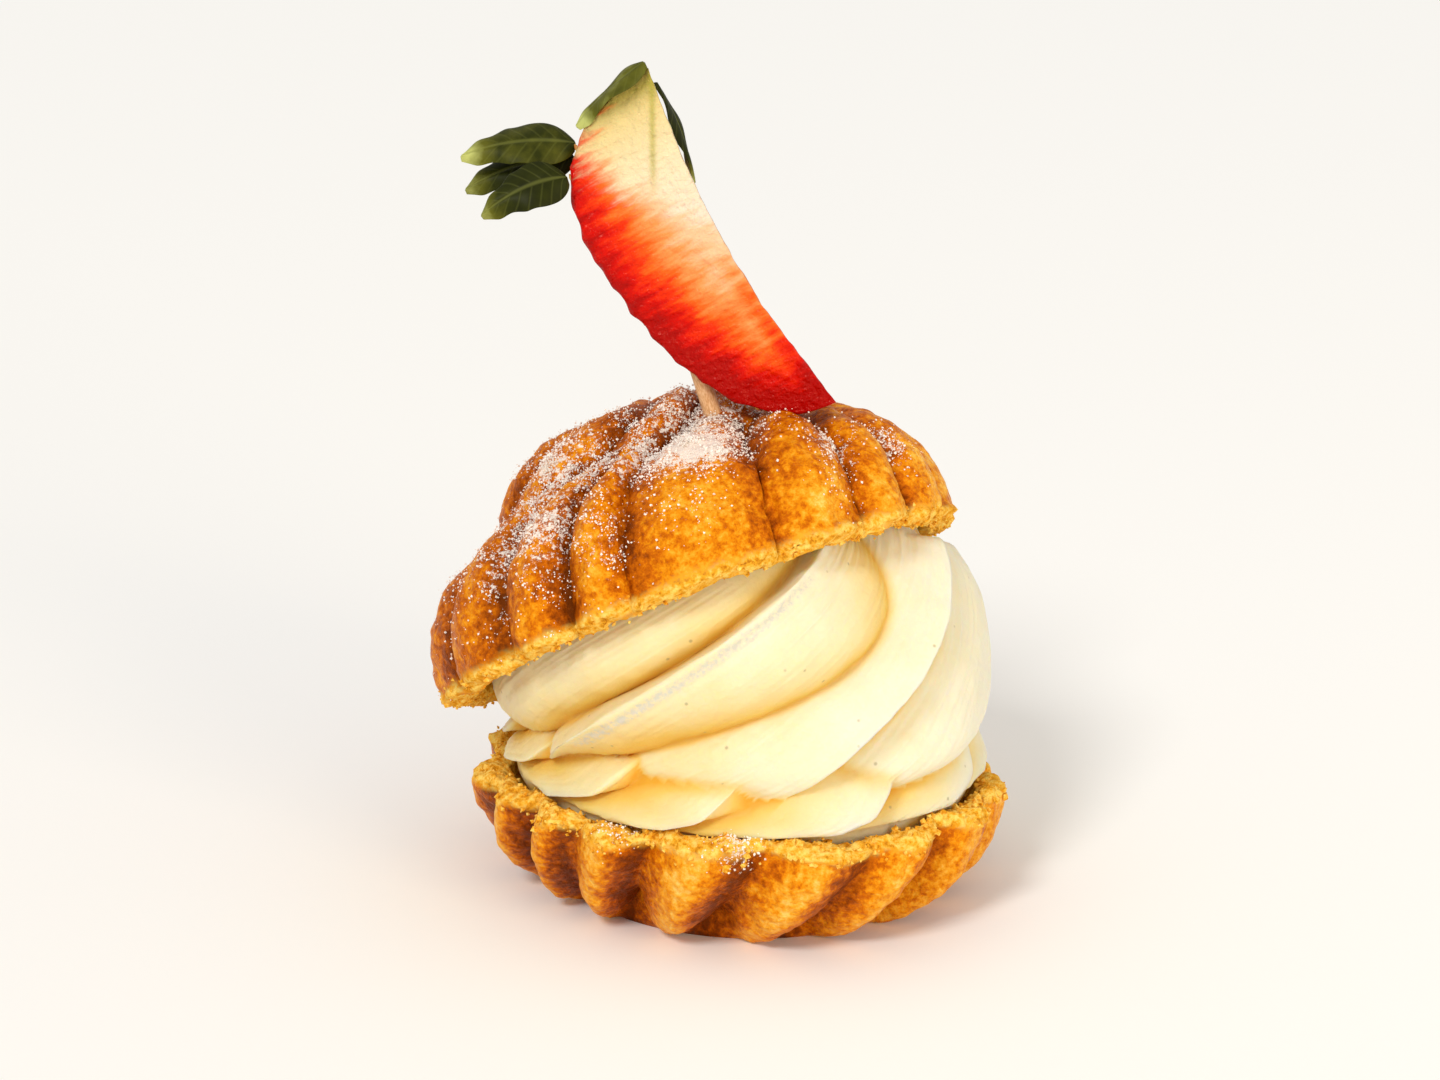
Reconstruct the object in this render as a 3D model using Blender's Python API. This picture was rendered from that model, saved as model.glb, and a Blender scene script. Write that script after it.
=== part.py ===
"""A cream-filled choux bun, opened like a shell, with a strawberry wedge on a cocktail stick.

The frame has +Z up and the origin at the centre of the flat spot that the bun rests on. The
bun opens towards -Y, and its cap is hinged at the back left. Sizes are in millimetres, and
new_object turns them into metres. Each surface is a grid of points worked out with numpy.
"""

import math

import bmesh
import bpy
import numpy as np

MM = 0.001
TAU = 2 * math.pi
GAP = 0.3  # between pieces that touch
STEPS_PER_RIDGE = 6

# The bun: one piped and baked rosette, cut across into a cup and a cap
CRUST_WALL = 4.4
BASE_RADIUS = 31.4
BASE_HEIGHT = 13.8
BASE_FLOOR = 5.0
FOOT_RADIUS = 20.5
BASE_GROOVES = np.radians(
    [-175, -157, -142, -124, -98, -74, -53, -31, -9, 14, 37, 61, 85, 110, 135, 160]
)
BASE_TWIST = math.radians(14)
BASE_GROOVE = 3.8  # mean depth
BASE_ROUNDNESS = 1.2  # 2 is a plain wave, and less makes grooves sharper and ridges broader
BASE_SIDE_DENT = 1.0
RIM_DIPS = [(163, 0.55, 2.2), (18, 0.38, 3.2)]  # (heading, width in radians, depth)
RIM_WAVES = [(3, 0.4, 0.35), (7, 0.0, 0.30)]  # (waves all round, phase, height)
UNEVENNESS = 0.25  # how much the depths of the grooves differ
BASE_RINGS = 9
CAVITY_ANGLES = np.radians([0, 22, 45, 68])

LID_RADIUS = 31.4
LID_CENTRE = np.array([-5.5, 0.0, 32.1])  # of the cut face
LID_RIGHT = np.array([0.909, 0.0, 0.417])
LID_UP = np.array([-0.386, 0.378, 0.841])
LID_CAVITY = 12.0
LID_GROOVES = np.radians(
    [-130, -112, -97, -64, -41, -26, -10, 8, 27, 46, 65, 84, 104, 123, 143, 163, 183, 205]
)
LID_GROOVE = 3.5
LID_ROUNDNESS = 0.65
LID_GROOVE_AT_EDGE, LID_GROOVE_GAIN = 0.62, 0.60  # share of its depth, and what it gains upwards
LID_LEAN = math.radians(12)
LID_SPIRAL = math.radians(165)
LID_TURN = 0.40  # share of the way up at which the ridges curl round
LID_TURN_SOFTNESS = 0.12
LID_RINGS = 14
SHOULDER_HEIGHT, SHOULDER_POWER = 19.5, 2.8
SHOULDER_DIP = 0.16  # how much lower it is on the hinge's side
CAP_RADIUS, CAP_HEIGHT, CAP_POWER = 20.5, 24.2, 3.6
CAP_GROOVE = 3.0

# The cream: an upper swirl of large folds over a lower ring of small ones.
# Each fold is (heading of its crest, where its crease lies far from and at the height where
# the fold is widest, depth of the crease).
CREAM_CENTRE = np.array([-0.7, -0.5, 27.0])
CREAM_RADIUS = 28.8
CREAM_RISE, CREAM_DROP = 24.0, 12.5
CREAM_RISE_POWER, CREAM_DROP_POWER = 2.2, 3.0
CREAM_FOLDS = [
    (-148, 0.12, 0.72, 5.2),
    (-84, 0.10, 0.20, 4.2),
    (-27, 0.30, 0.40, 4.6),
    (40, 0.40, 0.60, 5.0),
    (98, 0.30, 0.50, 4.8),
    (155, 0.80, 0.93, 4.4),
]
FOLD_ROUNDNESS = 0.65
CREASE_WIDTH = 0.0015
FOLD_START = math.radians(-20)  # elevation at which a crest has its own heading
FOLD_LEAN = 1.3
FOLD_LEAN_END = math.radians(75)
FOLD_END, FOLD_END_PLACE, FOLD_END_SWELL = math.radians(-13), 1.55, 1.6  # the front fold's blunt end
FOLD_WIDEST = math.radians(20)
FOLD_SPREAD = math.radians(29)
FOLD_STEPS = 16
CREAM_RINGS = 26
CUP_CLEARANCE, LID_CLEARANCE = 0.9, 1.3  # between the cream and the height of a cut edge
CUP_FLARE, LID_FLARE = 4.0, 2.0  # how fast the cream may widen past a cut edge
RING_CRESTS = [-153, -126, -98, -58, -20, 10, 40, 70, 100, 130, 160, 185]
RING_CENTRE_Z = 11.0
RING_RADIUS = 28.4
RING_RISE = 13.5
RING_POWER = 3.4
RING_SWELL = 1.4  # how much the ring grows out and up at its front right
RING_DEPTH = 2.8
RING_VALLEY = 0.22
RING_LEAN = 4.2
RING_LEAN_END = math.radians(15)
RING_FOOT, RING_FULL = math.radians(-36), math.radians(-24)  # where its creases reach full depth

# The strawberry wedge: stem end up on the left, tip down on the lid's right
BERRY_STEM = np.array([-13.6, -8.0, 96.3])
BERRY_TIP = np.array([8.5, -8.2, 59.6])
BERRY_RADIUS = 16.0
BERRY_BOW = 2.0
BERRY_SECTOR = math.radians(68)
LEAF_THICKNESS = 0.5
LEAF_STEPS = 9
LEAVES = {
    "leaf_upper": {
        "root": (-21.3, -5.4, 87.0),
        "bend": (-27.8, -5.4, 87.8),
        "tip": (-33.9, -6.2, 85.2),
        "normal": (0.1, -0.62, 0.78),
        "width": 2.7,
    },
    "leaf_middle": {
        "root": (-21.5, -4.2, 85.3),
        "bend": (-28.0, -4.2, 84.8),
        "tip": (-33.4, -5.0, 81.2),
        "normal": (0.0, -0.70, 0.70),
        "width": 2.5,
    },
    "leaf_lower": {
        "root": (-22.0, -8.9, 84.0),
        "bend": (-26.6, -10.6, 84.0),
        "tip": (-31.2, -11.2, 79.8),
        "normal": (-0.1, -0.80, 0.58),
        "width": 2.6,
    },
    "leaf_shoulder": {
        "root": (-14.0, -7.6, 96.8),
        "bend": (-18.7, -7.6, 93.3),
        "tip": (-21.2, -7.6, 89.3),
        "normal": (-0.72, -0.25, 0.65),
        "width": 1.9,
    },
    "leaf_back": {
        "root": (-12.9, -4.4, 94.0),
        "bend": (-9.8, -3.4, 89.6),
        "tip": (-8.2, -3.6, 82.6),
        "normal": (0.92, -0.12, 0.38),
        "width": 1.3,
    },
}
LEAF_WAVE, LEAF_ARCH = 0.35, 0.18

STICK_FOOT = np.array([-3.4, -5.0, 51.8])
STICK_HEAD = np.array([-10.2, -5.0, 71.2])
STICK_RADIUS = 1.0


def unit(vector):
    return vector / np.linalg.norm(vector)


def clear_scene():
    for obj in list(bpy.data.objects):
        bpy.data.objects.remove(obj, do_unlink=True)


def material(name, color, roughness):
    made = bpy.data.materials.new(name)
    made.use_nodes = True
    shader = made.node_tree.nodes["Principled BSDF"]
    shader.inputs["Base Color"].default_value = (*color, 1.0)
    shader.inputs["Roughness"].default_value = roughness
    shader.inputs["Metallic"].default_value = 0.0
    return made


def new_object(name, points, faces, finish):
    """An object from points in millimetres and faces, with its normals turned outwards."""
    mesh = bpy.data.meshes.new(name)
    mesh.from_pydata((np.asarray(points) * MM).tolist(), [], faces)
    work = bmesh.new()
    work.from_mesh(mesh)
    bmesh.ops.recalc_face_normals(work, faces=work.faces)
    work.to_mesh(mesh)
    work.free()
    if finish:
        mesh.materials.append(finish)
    mesh.shade_smooth()
    obj = bpy.data.objects.new(name, mesh)
    bpy.context.scene.collection.objects.link(obj)
    return obj


def lathe_object(name, first_pole, rings, last_pole, finish):
    """A closed skin: the first pole, rings of points that follow each other, the last pole."""
    count, columns = rings.shape[:2]
    last = 1 + count * columns
    faces = []
    for column in range(columns):
        after = (column + 1) % columns
        faces.append((0, 1 + after, 1 + column))
        faces.append((last, last - columns + column, last - columns + after))
        for ring in range(1, last - columns, columns):
            above = ring + columns
            faces.append((ring + column, ring + after, above + after, above + column))
    points = np.concatenate([[first_pole], rings.reshape(-1, 3), [last_pole]])
    return new_object(name, points, faces, finish)


def around(radius, theta, height):
    """Points at a radius and a heading, stacked into an array of x, y and z."""
    return np.stack([radius * np.cos(theta), radius * np.sin(theta), height + 0 * theta], -1)


def dome_reach(elevation, radius, height, power):
    """How far a dome's surface is from its centre, in the direction of an elevation."""
    flat = np.abs(np.cos(elevation)) / radius
    tall = np.abs(np.sin(elevation)) / height
    return (flat**power + tall**power) ** (-1 / power)


def hump(theta, heading, width):
    """1 at a heading in degrees, falling off smoothly to both sides."""
    apart = (theta - math.radians(heading) + math.pi) % TAU - math.pi
    return np.exp(-((apart / width) ** 2))


def heading_at(place, headings):
    """The heading at a place in a ring of headings, numbered from 0 and closing up."""
    closed = np.append(headings, headings[0] + TAU)
    return np.interp(place, np.arange(len(closed)), closed)


def groove_between(place, roundness):
    """1 in the groove at each whole place and 0 on the ridge between two."""
    return 1 - np.abs(np.sin(math.pi * place)) ** roundness


# ---------------------------------------------------------------- the cup


def base_rim(theta):
    """The cut's height: it dips where the cap hinges and at the back right."""
    dips = sum(depth * hump(theta, heading, width) for heading, width, depth in RIM_DIPS)
    waves = sum(height * np.sin(count * theta + phase) for count, phase, height in RIM_WAVES)
    return BASE_HEIGHT - dips + waves


def base_outside(place):
    """A quarter round from foot to rim, with grooves cut square to its slope."""
    share = np.linspace(0.0, 1.0, BASE_RINGS)[:, None]
    angle = share * math.pi / 2
    radius = FOOT_RADIUS + (BASE_RADIUS - FOOT_RADIUS) * np.sin(angle)
    height = (1 - np.cos(angle)) ** 0.85
    slope_r, slope_z = np.gradient(radius[:, 0]), np.gradient(height[:, 0] * BASE_HEIGHT)
    size = np.hypot(slope_r, slope_z)
    depth = BASE_GROOVE * (1 + UNEVENNESS * np.sin(2.3 * np.round(place)))
    along = np.clip(share / 0.10, 0, 1) * (1.15 - 0.45 * share)
    cut = depth * along * groove_between(place, BASE_ROUNDNESS)
    theta = heading_at(place, BASE_GROOVES) + BASE_TWIST * share
    dent = BASE_SIDE_DENT * share * hump(theta, 15, 0.8)
    radius = radius - cut * (slope_z / size)[:, None] - dent
    height = height * base_rim(theta) + cut * (slope_r / size)[:, None]
    height[0] = 0.0
    return around(radius, theta, height)


def base_inside(theta):
    """The hollow: a bowl that is steep at the rim and flat on its floor."""
    rings = []
    rim = base_rim(theta)
    for angle in CAVITY_ANGLES:
        radius = (BASE_RADIUS - CRUST_WALL) * math.cos(angle) ** 0.6
        height = rim - (rim - BASE_FLOOR) * math.sin(angle) ** 0.9
        rings.append(around(radius, theta, height))
    return np.stack(rings)


def make_base(crust):
    place = np.arange(len(BASE_GROOVES) * STEPS_PER_RIDGE)[None, :] / STEPS_PER_RIDGE
    outside = base_outside(place)
    theta = np.arctan2(outside[-1, :, 1], outside[-1, :, 0])
    rings = np.concatenate([outside, base_inside(theta)])
    lathe_object("choux_base", (0, 0, 0), rings, (0, 0, BASE_FLOOR), crust)


# ---------------------------------------------------------------- the cap


def lid_axes():
    return np.stack([unit(LID_RIGHT), unit(np.cross(LID_UP, LID_RIGHT)), unit(LID_UP)])


def lid_to_world(points):
    return LID_CENTRE + points @ lid_axes()


def lid_outside(place):
    """The farther of a broad ridged shoulder and a narrow cap with half as many ridges.

    The ridges rise nearly straight up the shoulder, then curl round on the cap.
    """
    elevation = np.radians(np.linspace(84, 0, LID_RINGS))[:, None]
    share = elevation / (math.pi / 2)
    curl = share - LID_TURN
    curl = (curl + np.sqrt(curl**2 + LID_TURN_SOFTNESS**2)) / 2
    theta = heading_at(place, LID_GROOVES) + LID_LEAN * share + LID_SPIRAL * curl
    height = SHOULDER_HEIGHT * (1 - SHOULDER_DIP * hump(theta, -175, 0.7))
    shoulder = dome_reach(elevation, LID_RADIUS, height, SHOULDER_POWER)
    uneven = 1 + UNEVENNESS * np.sin(2.3 * np.floor(place))
    depth = LID_GROOVE * uneven * (LID_GROOVE_AT_EDGE + LID_GROOVE_GAIN * np.sin(elevation))
    shoulder = shoulder - depth * groove_between(place, LID_ROUNDNESS)
    cap = dome_reach(elevation, CAP_RADIUS, CAP_HEIGHT, CAP_POWER)
    cap = cap - CAP_GROOVE * groove_between(place / 2, LID_ROUNDNESS) * np.cos(elevation) ** 0.5
    reach = np.maximum(shoulder, cap)
    return around(reach * np.cos(elevation), theta, reach * np.sin(elevation))


def lid_inside(theta):
    """The hollow: a shallow dome over the cream."""
    rings = []
    for angle in CAVITY_ANGLES:
        radius = (LID_RADIUS - CRUST_WALL) * math.cos(angle) ** 0.7
        rings.append(around(radius, theta, LID_CAVITY * math.sin(angle) ** 0.9))
    return np.stack(rings)


def make_lid(crust):
    place = np.arange(len(LID_GROOVES) * STEPS_PER_RIDGE)[None, :] / STEPS_PER_RIDGE
    outside = lid_outside(place)
    theta = np.arctan2(outside[-1, :, 1], outside[-1, :, 0])
    rings = lid_to_world(np.concatenate([outside, lid_inside(theta)]))
    top, roof = lid_to_world(np.array([[0, 0, CAP_HEIGHT], [0, 0, LID_CAVITY]]))
    return lathe_object("choux_lid", top, rings, roof, crust)


# ---------------------------------------------------------------- the cream


def room_in_cavity(radial, depth, cavity, flare):
    """True inside one half's cavity, or within a cone that opens outwards above its rim."""
    inner = BASE_RADIUS - CRUST_WALL - 2 * GAP
    share = np.clip(depth / (cavity - GAP), 0, 1)
    limit = np.where(depth > 0, inner * np.sqrt(1 - share**2.2), inner - flare * depth)
    return radial < limit


def room_in_bun(points):
    """True where cream may be: clear of the cup and of the cap."""
    radial = np.hypot(points[..., 0], points[..., 1])
    rim = BASE_HEIGHT + CUP_CLEARANCE
    clear_of_base = room_in_cavity(radial, rim - points[..., 2], rim - BASE_FLOOR, CUP_FLARE)
    local = (points - LID_CENTRE) @ lid_axes().T
    radial = np.hypot(local[..., 0], local[..., 1])
    depth, cavity = local[..., 2] + LID_CLEARANCE, LID_CAVITY + LID_CLEARANCE
    clear_of_lid = room_in_cavity(radial, depth, cavity, LID_FLARE)
    return clear_of_base & clear_of_lid


def farthest(directions, inside, limit=60.0):
    """How far one can go from the cream's centre each way and stay inside, by halving."""
    near = np.zeros(directions.shape[:-1])
    far = near + limit
    for _ in range(24):
        middle = (near + far) / 2
        good = inside(CREAM_CENTRE + directions * middle[..., None])
        near, far = np.where(good, middle, near), np.where(good, far, middle)
    return near


def fold(place, valley):
    """0 on the crest at each whole place, and 1 in the crease at a share of the way.

    The face from a crease to the next crest is convex: it rises steeply, then slowly.
    """
    warped = (place % 1) ** (math.log(0.5) / np.log(valley))
    return 1 - ((2 * warped - 1) ** 2 + CREASE_WIDTH) ** (FOLD_ROUNDNESS / 2)


def swirl_reach(elevation, place):
    """The upper swirl: a dome cut by the creases between its folds."""
    folds = np.array(CREAM_FOLDS)
    at = np.floor(place).astype(int)
    height = np.where(elevation > 0, CREAM_RISE, CREAM_DROP)
    power = np.where(elevation > 0, CREAM_RISE_POWER, CREAM_DROP_POWER)
    dome = dome_reach(elevation, CREAM_RADIUS, height, power)
    end = ((place - FOLD_END_PLACE) / 0.3) ** 2 + ((elevation - FOLD_END) / math.radians(8)) ** 2
    dome = dome + FOLD_END_SWELL * np.exp(-end)
    widest = np.exp(-(((elevation - FOLD_WIDEST) / FOLD_SPREAD) ** 2))
    valley = folds[at, 1] + (folds[at, 2] - folds[at, 1]) * widest
    return dome - folds[at, 3] * fold(place, valley) * np.cos(elevation)


def ring_reach(directions, elevation, heading):
    """The lower ring of cream: a flat barrel with small folds that fade out at its foot."""
    crests = np.radians([*RING_CRESTS, RING_CRESTS[0] + 360, RING_CRESTS[1] + 360])
    place = np.interp(heading, crests, np.arange(len(crests)))
    full = np.clip((elevation - RING_FOOT) / (RING_FULL - RING_FOOT), 0, 1)
    swell = RING_SWELL * hump(heading, -80, 0.5)
    size = RING_RADIUS + swell - RING_DEPTH * full * fold(place, RING_VALLEY)

    def inside(points):
        height = np.abs(points[..., 2] - RING_CENTRE_Z) / (RING_RISE + swell)
        outward = np.hypot(points[..., 0], points[..., 1]) / size
        return height**RING_POWER + outward**RING_POWER < 1

    return farthest(directions, inside)


def cream_rings():
    columns = len(CREAM_FOLDS) * FOLD_STEPS
    place = np.arange(columns)[None, :] / FOLD_STEPS
    rise = np.linspace(-1, 1, CREAM_RINGS + 2)[1:-1, None]
    elevation = (0.55 * rise + 0.45 * rise**3) * math.pi / 2  # closest rings at mid height
    heading = heading_at(place, np.radians([crest[0] for crest in CREAM_FOLDS]))
    above = elevation - FOLD_START
    lean = FOLD_LEAN * np.clip(above, 0, FOLD_LEAN_END) + RING_LEAN * np.clip(above, -RING_LEAN_END, 0)
    directions = around(np.cos(elevation), heading + lean, np.sin(elevation))
    reach = np.maximum(swirl_reach(elevation, place), ring_reach(directions, elevation, heading))
    reach = np.minimum(reach, farthest(directions, room_in_bun))
    return CREAM_CENTRE + directions * reach[..., None]


def make_cream(whipped):
    ends = farthest(np.array([[0, 0, -1.0], [0, 0, 1.0]]), room_in_bun)
    low = CREAM_CENTRE - [0, 0, ends[0]]
    high = CREAM_CENTRE + [0, 0, min(CREAM_RISE, ends[1])]
    lathe_object("cream", low, cream_rings(), high, whipped)


# ---------------------------------------------------------------- the topping


def berry_axes():
    """Down the wedge's length, out along its cut face, and away behind that face."""
    along = unit(BERRY_TIP - BERRY_STEM)
    behind = np.array([0.0, 1.0, 0.0])
    return along, np.cross(behind, along), behind


def berry_profile(share):
    """The skin's distance from the berry's axis, from the stem end to the tip."""
    return BERRY_RADIUS * (1 - (1 - share) ** 9) ** 0.7 * (1 - share**3.4) ** 0.5


def berry_rings():
    along, out, behind = berry_axes()
    length = np.linalg.norm(BERRY_TIP - BERRY_STEM)
    rings = []
    for share in 0.5 - 0.5 * np.cos(np.linspace(0.0, math.pi, 20)[1:-1]):
        radius = berry_profile(share)
        axis = BERRY_STEM + along * length * share
        core = axis + out * min(BERRY_BOW * math.sin(math.pi * share), 0.6 * radius)
        face = [core + (axis + out * radius - core) * part for part in (0.0, 0.33, 0.67)]
        skin = [
            axis + radius * (out * math.cos(turn) + behind * math.sin(turn))
            for turn in np.linspace(0.0, BERRY_SECTOR, 8)
        ]
        back = [core + (skin[-1] - core) * part for part in (0.67, 0.33)]
        rings.append(face + skin + back)
    return np.array(rings)


def stick_shape(name, radius, longer, point, finish):
    """A round rod along the stick's axis: longer at both ends, with points of some length."""
    along = unit(STICK_HEAD - STICK_FOOT)
    side = unit(np.cross(along, [0, 1, 0]))
    front = np.cross(along, side)
    turn = np.arange(12)[:, None] * TAU / 12
    circle = radius * (np.cos(turn) * side + np.sin(turn) * front)
    foot, head = STICK_FOOT - along * longer, STICK_HEAD + along * longer
    rings = np.array([foot + along * point + circle, head - along * point + circle])
    return lathe_object(name, foot, rings, head, finish)


def bore(obj, cutter):
    cut = obj.modifiers.new("stick hole", "BOOLEAN")
    cut.operation = "DIFFERENCE"
    cut.object = cutter


def make_stick(wood, pierced):
    """The stick, and a slightly wider hole for it in each piece that it is pushed into."""
    stick_shape("cocktail_stick", STICK_RADIUS, 0.0, 3.0, wood)
    cutter = stick_shape("stick_hole", STICK_RADIUS + GAP, GAP, 0.0, None)
    cutter.hide_render = True
    cutter.display_type = "WIRE"
    for obj in pierced:
        bore(obj, cutter)


def leaf_grid(leaf):
    """Middle surface and unit normals of a leaf: a bent path, with a width that tapers."""
    along = np.linspace(0, 1, LEAF_STEPS)[:, None, None]
    across = np.linspace(-1, 1, 5)[None, :, None]
    root, bend, tip, normal = (np.array(leaf[key]) for key in ("root", "bend", "tip", "normal"))
    path = (1 - along) ** 2 * root + 2 * along * (1 - along) * bend + along**2 * tip
    side = unit(np.cross(tip - root, normal))
    half = 0.25 + leaf["width"] * np.sin(math.pi * along**0.75) ** 0.8
    wave = LEAF_WAVE * np.sin(3 * math.pi * along) * across - LEAF_ARCH * leaf["width"] * across**2
    middle = path + side * half * across + unit(normal) * wave
    normals = np.cross(np.gradient(middle, axis=0), np.gradient(middle, axis=1))
    return middle, normals / np.linalg.norm(normals, axis=-1, keepdims=True)


def make_leaf(name, leaf, finish):
    """Two parallel skins, both split into triangles alike, joined by a narrow edge."""
    middle, normals = leaf_grid(leaf)
    rows, columns = middle.shape[:2]
    count = rows * columns
    half = normals * LEAF_THICKNESS / 2
    points = np.concatenate([middle + half, middle - half])
    faces = []
    for row in range(rows - 1):
        for column in range(columns - 1):
            a = row * columns + column
            b, c, d = a + 1, a + columns + 1, a + columns
            faces += [(a, b, c), (a, c, d)]
            faces += [(count + a, count + c, count + b), (count + a, count + d, count + c)]
    first, last = range(columns), range(count - columns, count)
    left, right = range(0, count, columns), range(columns - 1, count, columns)
    outline = [*first, *right[1:], *reversed(last[:-1]), *reversed(left[1:-1])]
    for a, b in zip(outline, outline[1:] + outline[:1]):
        faces += [(a, count + a, count + b), (a, count + b, b)]
    new_object(name, points.reshape(-1, 3), faces, finish)


def build():
    crust = material("baked_choux", (0.72, 0.33, 0.06), 0.55)
    whipped = material("whipped_cream", (0.93, 0.84, 0.60), 0.45)
    flesh = material("strawberry", (0.82, 0.06, 0.02), 0.25)
    wood = material("birch", (0.66, 0.35, 0.14), 0.6)
    green = material("strawberry_leaf", (0.05, 0.08, 0.01), 0.5)
    make_base(crust)
    lid = make_lid(crust)
    make_cream(whipped)
    berry = lathe_object("strawberry", BERRY_STEM, berry_rings(), BERRY_TIP, flesh)
    make_stick(wood, (lid, berry))
    for name, leaf in LEAVES.items():
        make_leaf(name, leaf, green)


clear_scene()
build()
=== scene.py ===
import itertools
import math

import bpy
import numpy as np
from mathutils import Matrix


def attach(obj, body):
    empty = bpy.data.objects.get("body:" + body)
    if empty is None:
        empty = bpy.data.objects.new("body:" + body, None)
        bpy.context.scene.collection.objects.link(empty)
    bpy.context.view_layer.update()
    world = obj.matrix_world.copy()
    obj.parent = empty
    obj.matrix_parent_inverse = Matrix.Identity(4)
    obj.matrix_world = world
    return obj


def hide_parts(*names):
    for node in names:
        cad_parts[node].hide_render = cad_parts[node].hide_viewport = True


# A cream-filled choux bun, opened like a shell, with a strawberry wedge on a cocktail stick.
# Shapes are worked out in millimetres and put into their meshes in metres. Each surface is a
# grid of points: its rows run from one pole of the piece to the other, and its columns close
# up round it.

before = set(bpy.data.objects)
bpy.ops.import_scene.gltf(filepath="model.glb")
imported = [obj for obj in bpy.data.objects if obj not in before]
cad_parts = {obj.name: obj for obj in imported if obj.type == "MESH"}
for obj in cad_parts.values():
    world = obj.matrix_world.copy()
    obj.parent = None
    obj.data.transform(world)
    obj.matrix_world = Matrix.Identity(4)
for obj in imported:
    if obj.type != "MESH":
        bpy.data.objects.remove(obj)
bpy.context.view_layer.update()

MM = 0.001
TAU = 2 * math.pi
GAP = 0.3  # between pieces that touch
HALVINGS = 20  # steps of a search by halving

# The bun: one piped and baked rosette, cut across into a cup and a cap
CRUST_WALL = 4.4
UNEVENNESS = 0.25  # how much the depths of the grooves differ
UNEVEN_STEP = 2.3  # how far their wave moves on from groove to groove, in radians
HOLLOW_END = 80  # degrees round from the rim at which a hollow's last row lies
HOLLOW_FLATNESS = 0.9  # less makes a hollow's floor flatter
HOLLOW_ROWS = 24
CUT_ROWS = 16

BASE_RADIUS = 31.4
BASE_HEIGHT = 13.8
BASE_FLOOR = 5.0
BASE_STEEPNESS = 0.85  # less makes the foot rise sooner
FOOT_RADIUS = 20.5
BASE_GROOVES = np.radians(
    [-175, -157, -142, -124, -98, -74, -53, -31, -9, 14, 37, 61, 85, 110, 135, 160]
)
BASE_TWIST = math.radians(14)
BASE_GROOVE = 3.8  # mean depth
BASE_GROOVE_START = 0.10  # share of the way up over which it deepens
BASE_GROOVE_AT_FOOT = 1.15  # share of its depth there
BASE_GROOVE_LOSS = 0.45  # and what it loses up to the rim
BASE_ROUNDNESS = 1.2  # 2 is a plain wave, and less makes grooves sharper and ridges broader
BASE_HOLLOW_SIDE = 0.6  # less makes the hollow's side steeper
SIDE_DENT = (15, 0.8, 1.0)  # (heading, width in radians, depth)
RIM_DIPS = [(163, 0.55, 2.2), (18, 0.38, 3.2)]  # (heading, width in radians, depth)
RIM_WAVES = [(3, 0.4, 0.35), (7, 0.0, 0.30)]  # (waves all round, phase, height)
BASE_BULGE = 0.8  # of the torn rim
BASE_STEPS = 30  # columns for each ridge
BASE_ROWS = 76

LID_RADIUS = 31.4
LID_CENTRE = np.array([-5.5, 0.0, 32.1])  # of the cut face
LID_RIGHT = np.array([0.909, 0.0, 0.417])
LID_UP = np.array([-0.386, 0.378, 0.841])
LID_CAVITY = 12.0
LID_GROOVES = np.radians(
    [-130, -112, -97, -64, -41, -26, -10, 8, 27, 46, 65, 84, 104, 123, 143, 163, 183, 205]
)
LID_GROOVE = 3.5
LID_ROUNDNESS = 0.65
LID_GROOVE_AT_EDGE = 0.62  # share of its depth
LID_GROOVE_GAIN = 0.60  # and what it gains upwards
LID_LEAN = math.radians(12)
LID_SPIRAL = math.radians(165)
LID_TURN = 0.40  # share of the way up at which the ridges curl round
LID_TURN_SOFTNESS = 0.12
LID_HOLLOW_SIDE = 0.7
SHOULDER_HEIGHT = 19.5
SHOULDER_POWER = 2.8  # 2 is an ellipse, and more is squarer
SHOULDER_DIP = (-175, 0.7, 0.16)  # (heading, width in radians, share of the height)
CAP_RADIUS = 20.5
CAP_HEIGHT = 24.2
CAP_POWER = 3.6
CAP_GROOVE = 3.0
CAP_GROOVE_FADE = 0.5  # more fades its grooves sooner towards the top
STEP_SOFTNESS = 0.5  # of the step between shoulder and cap
STEP_BLEND = 0.6
STEP_WIDTH = 0.9
LID_BULGE = -0.7  # of the torn rim, in the lid's own frame
LID_STEPS = 28  # columns for each ridge
LID_ROWS = 112
LID_TOP_ROW = 88.5  # degrees
CAP_SINK = 0.1  # how far the top's pole lies under the cap's height

# The crust's finish. Lumps are (size, height, seed), and pits are (size, depth, seed).
CUP_BAKED = [(5.5, 0.30, 11), (1.7, 0.16, 21)]
CUP_TORN = [(1.9, 0.55, 31)]
CUP_PITS = (1.1, 0.25, 37)
CAP_BAKED = [(5.0, 0.34, 41), (1.5, 0.17, 51)]
CAP_TORN = [(1.7, 0.42, 61)]
CAP_PITS = (1.1, 0.20, 67)
PIT_RANGE = (0.1, 0.7)  # noise at which a pit starts and is deepest
CUP_RAGGED = 1.8  # size of the crumbs along the edge of the skin
CAP_RAGGED = 1.6
RAGGED_SEED = 5
RAGGED_NOISE = 0.6  # how far the crumbs shift the edge
RAGGED_MIDDLE = 0.45  # where on the edge skin gives way to crumb
RAGGED_RANGE = (-0.25, 0.5)
CUP_EDGE = (0.90, 1.0)  # shares of the way up between which skin gives way to crumb
CAP_EDGE = (0.07, 0.0)  # elevations in radians
CUP_CALM = (0.0, 0.12)  # shares of the way up over which the relief grows from nothing
CAP_CALM = (math.radians(88), math.radians(78))
FLANK_RISE = (0.40, 0.80)  # shares of a ridge's width between which painted shade darkens its side
FLANK_FALL = (1.0, 0.9)
LEFT_SIDE = (0, -30)  # x at which the left side starts and is full, where painted shade darkens the cap and more sugar lies
CROWN = (52, 57)  # z
CUP_BROWNING = 0.02  # of the whole, and then of its parts
# Painted shade on one side of each ridge
FLANK_SHADE = 0.40
FOOT_BROWNING = 0.14
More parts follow.
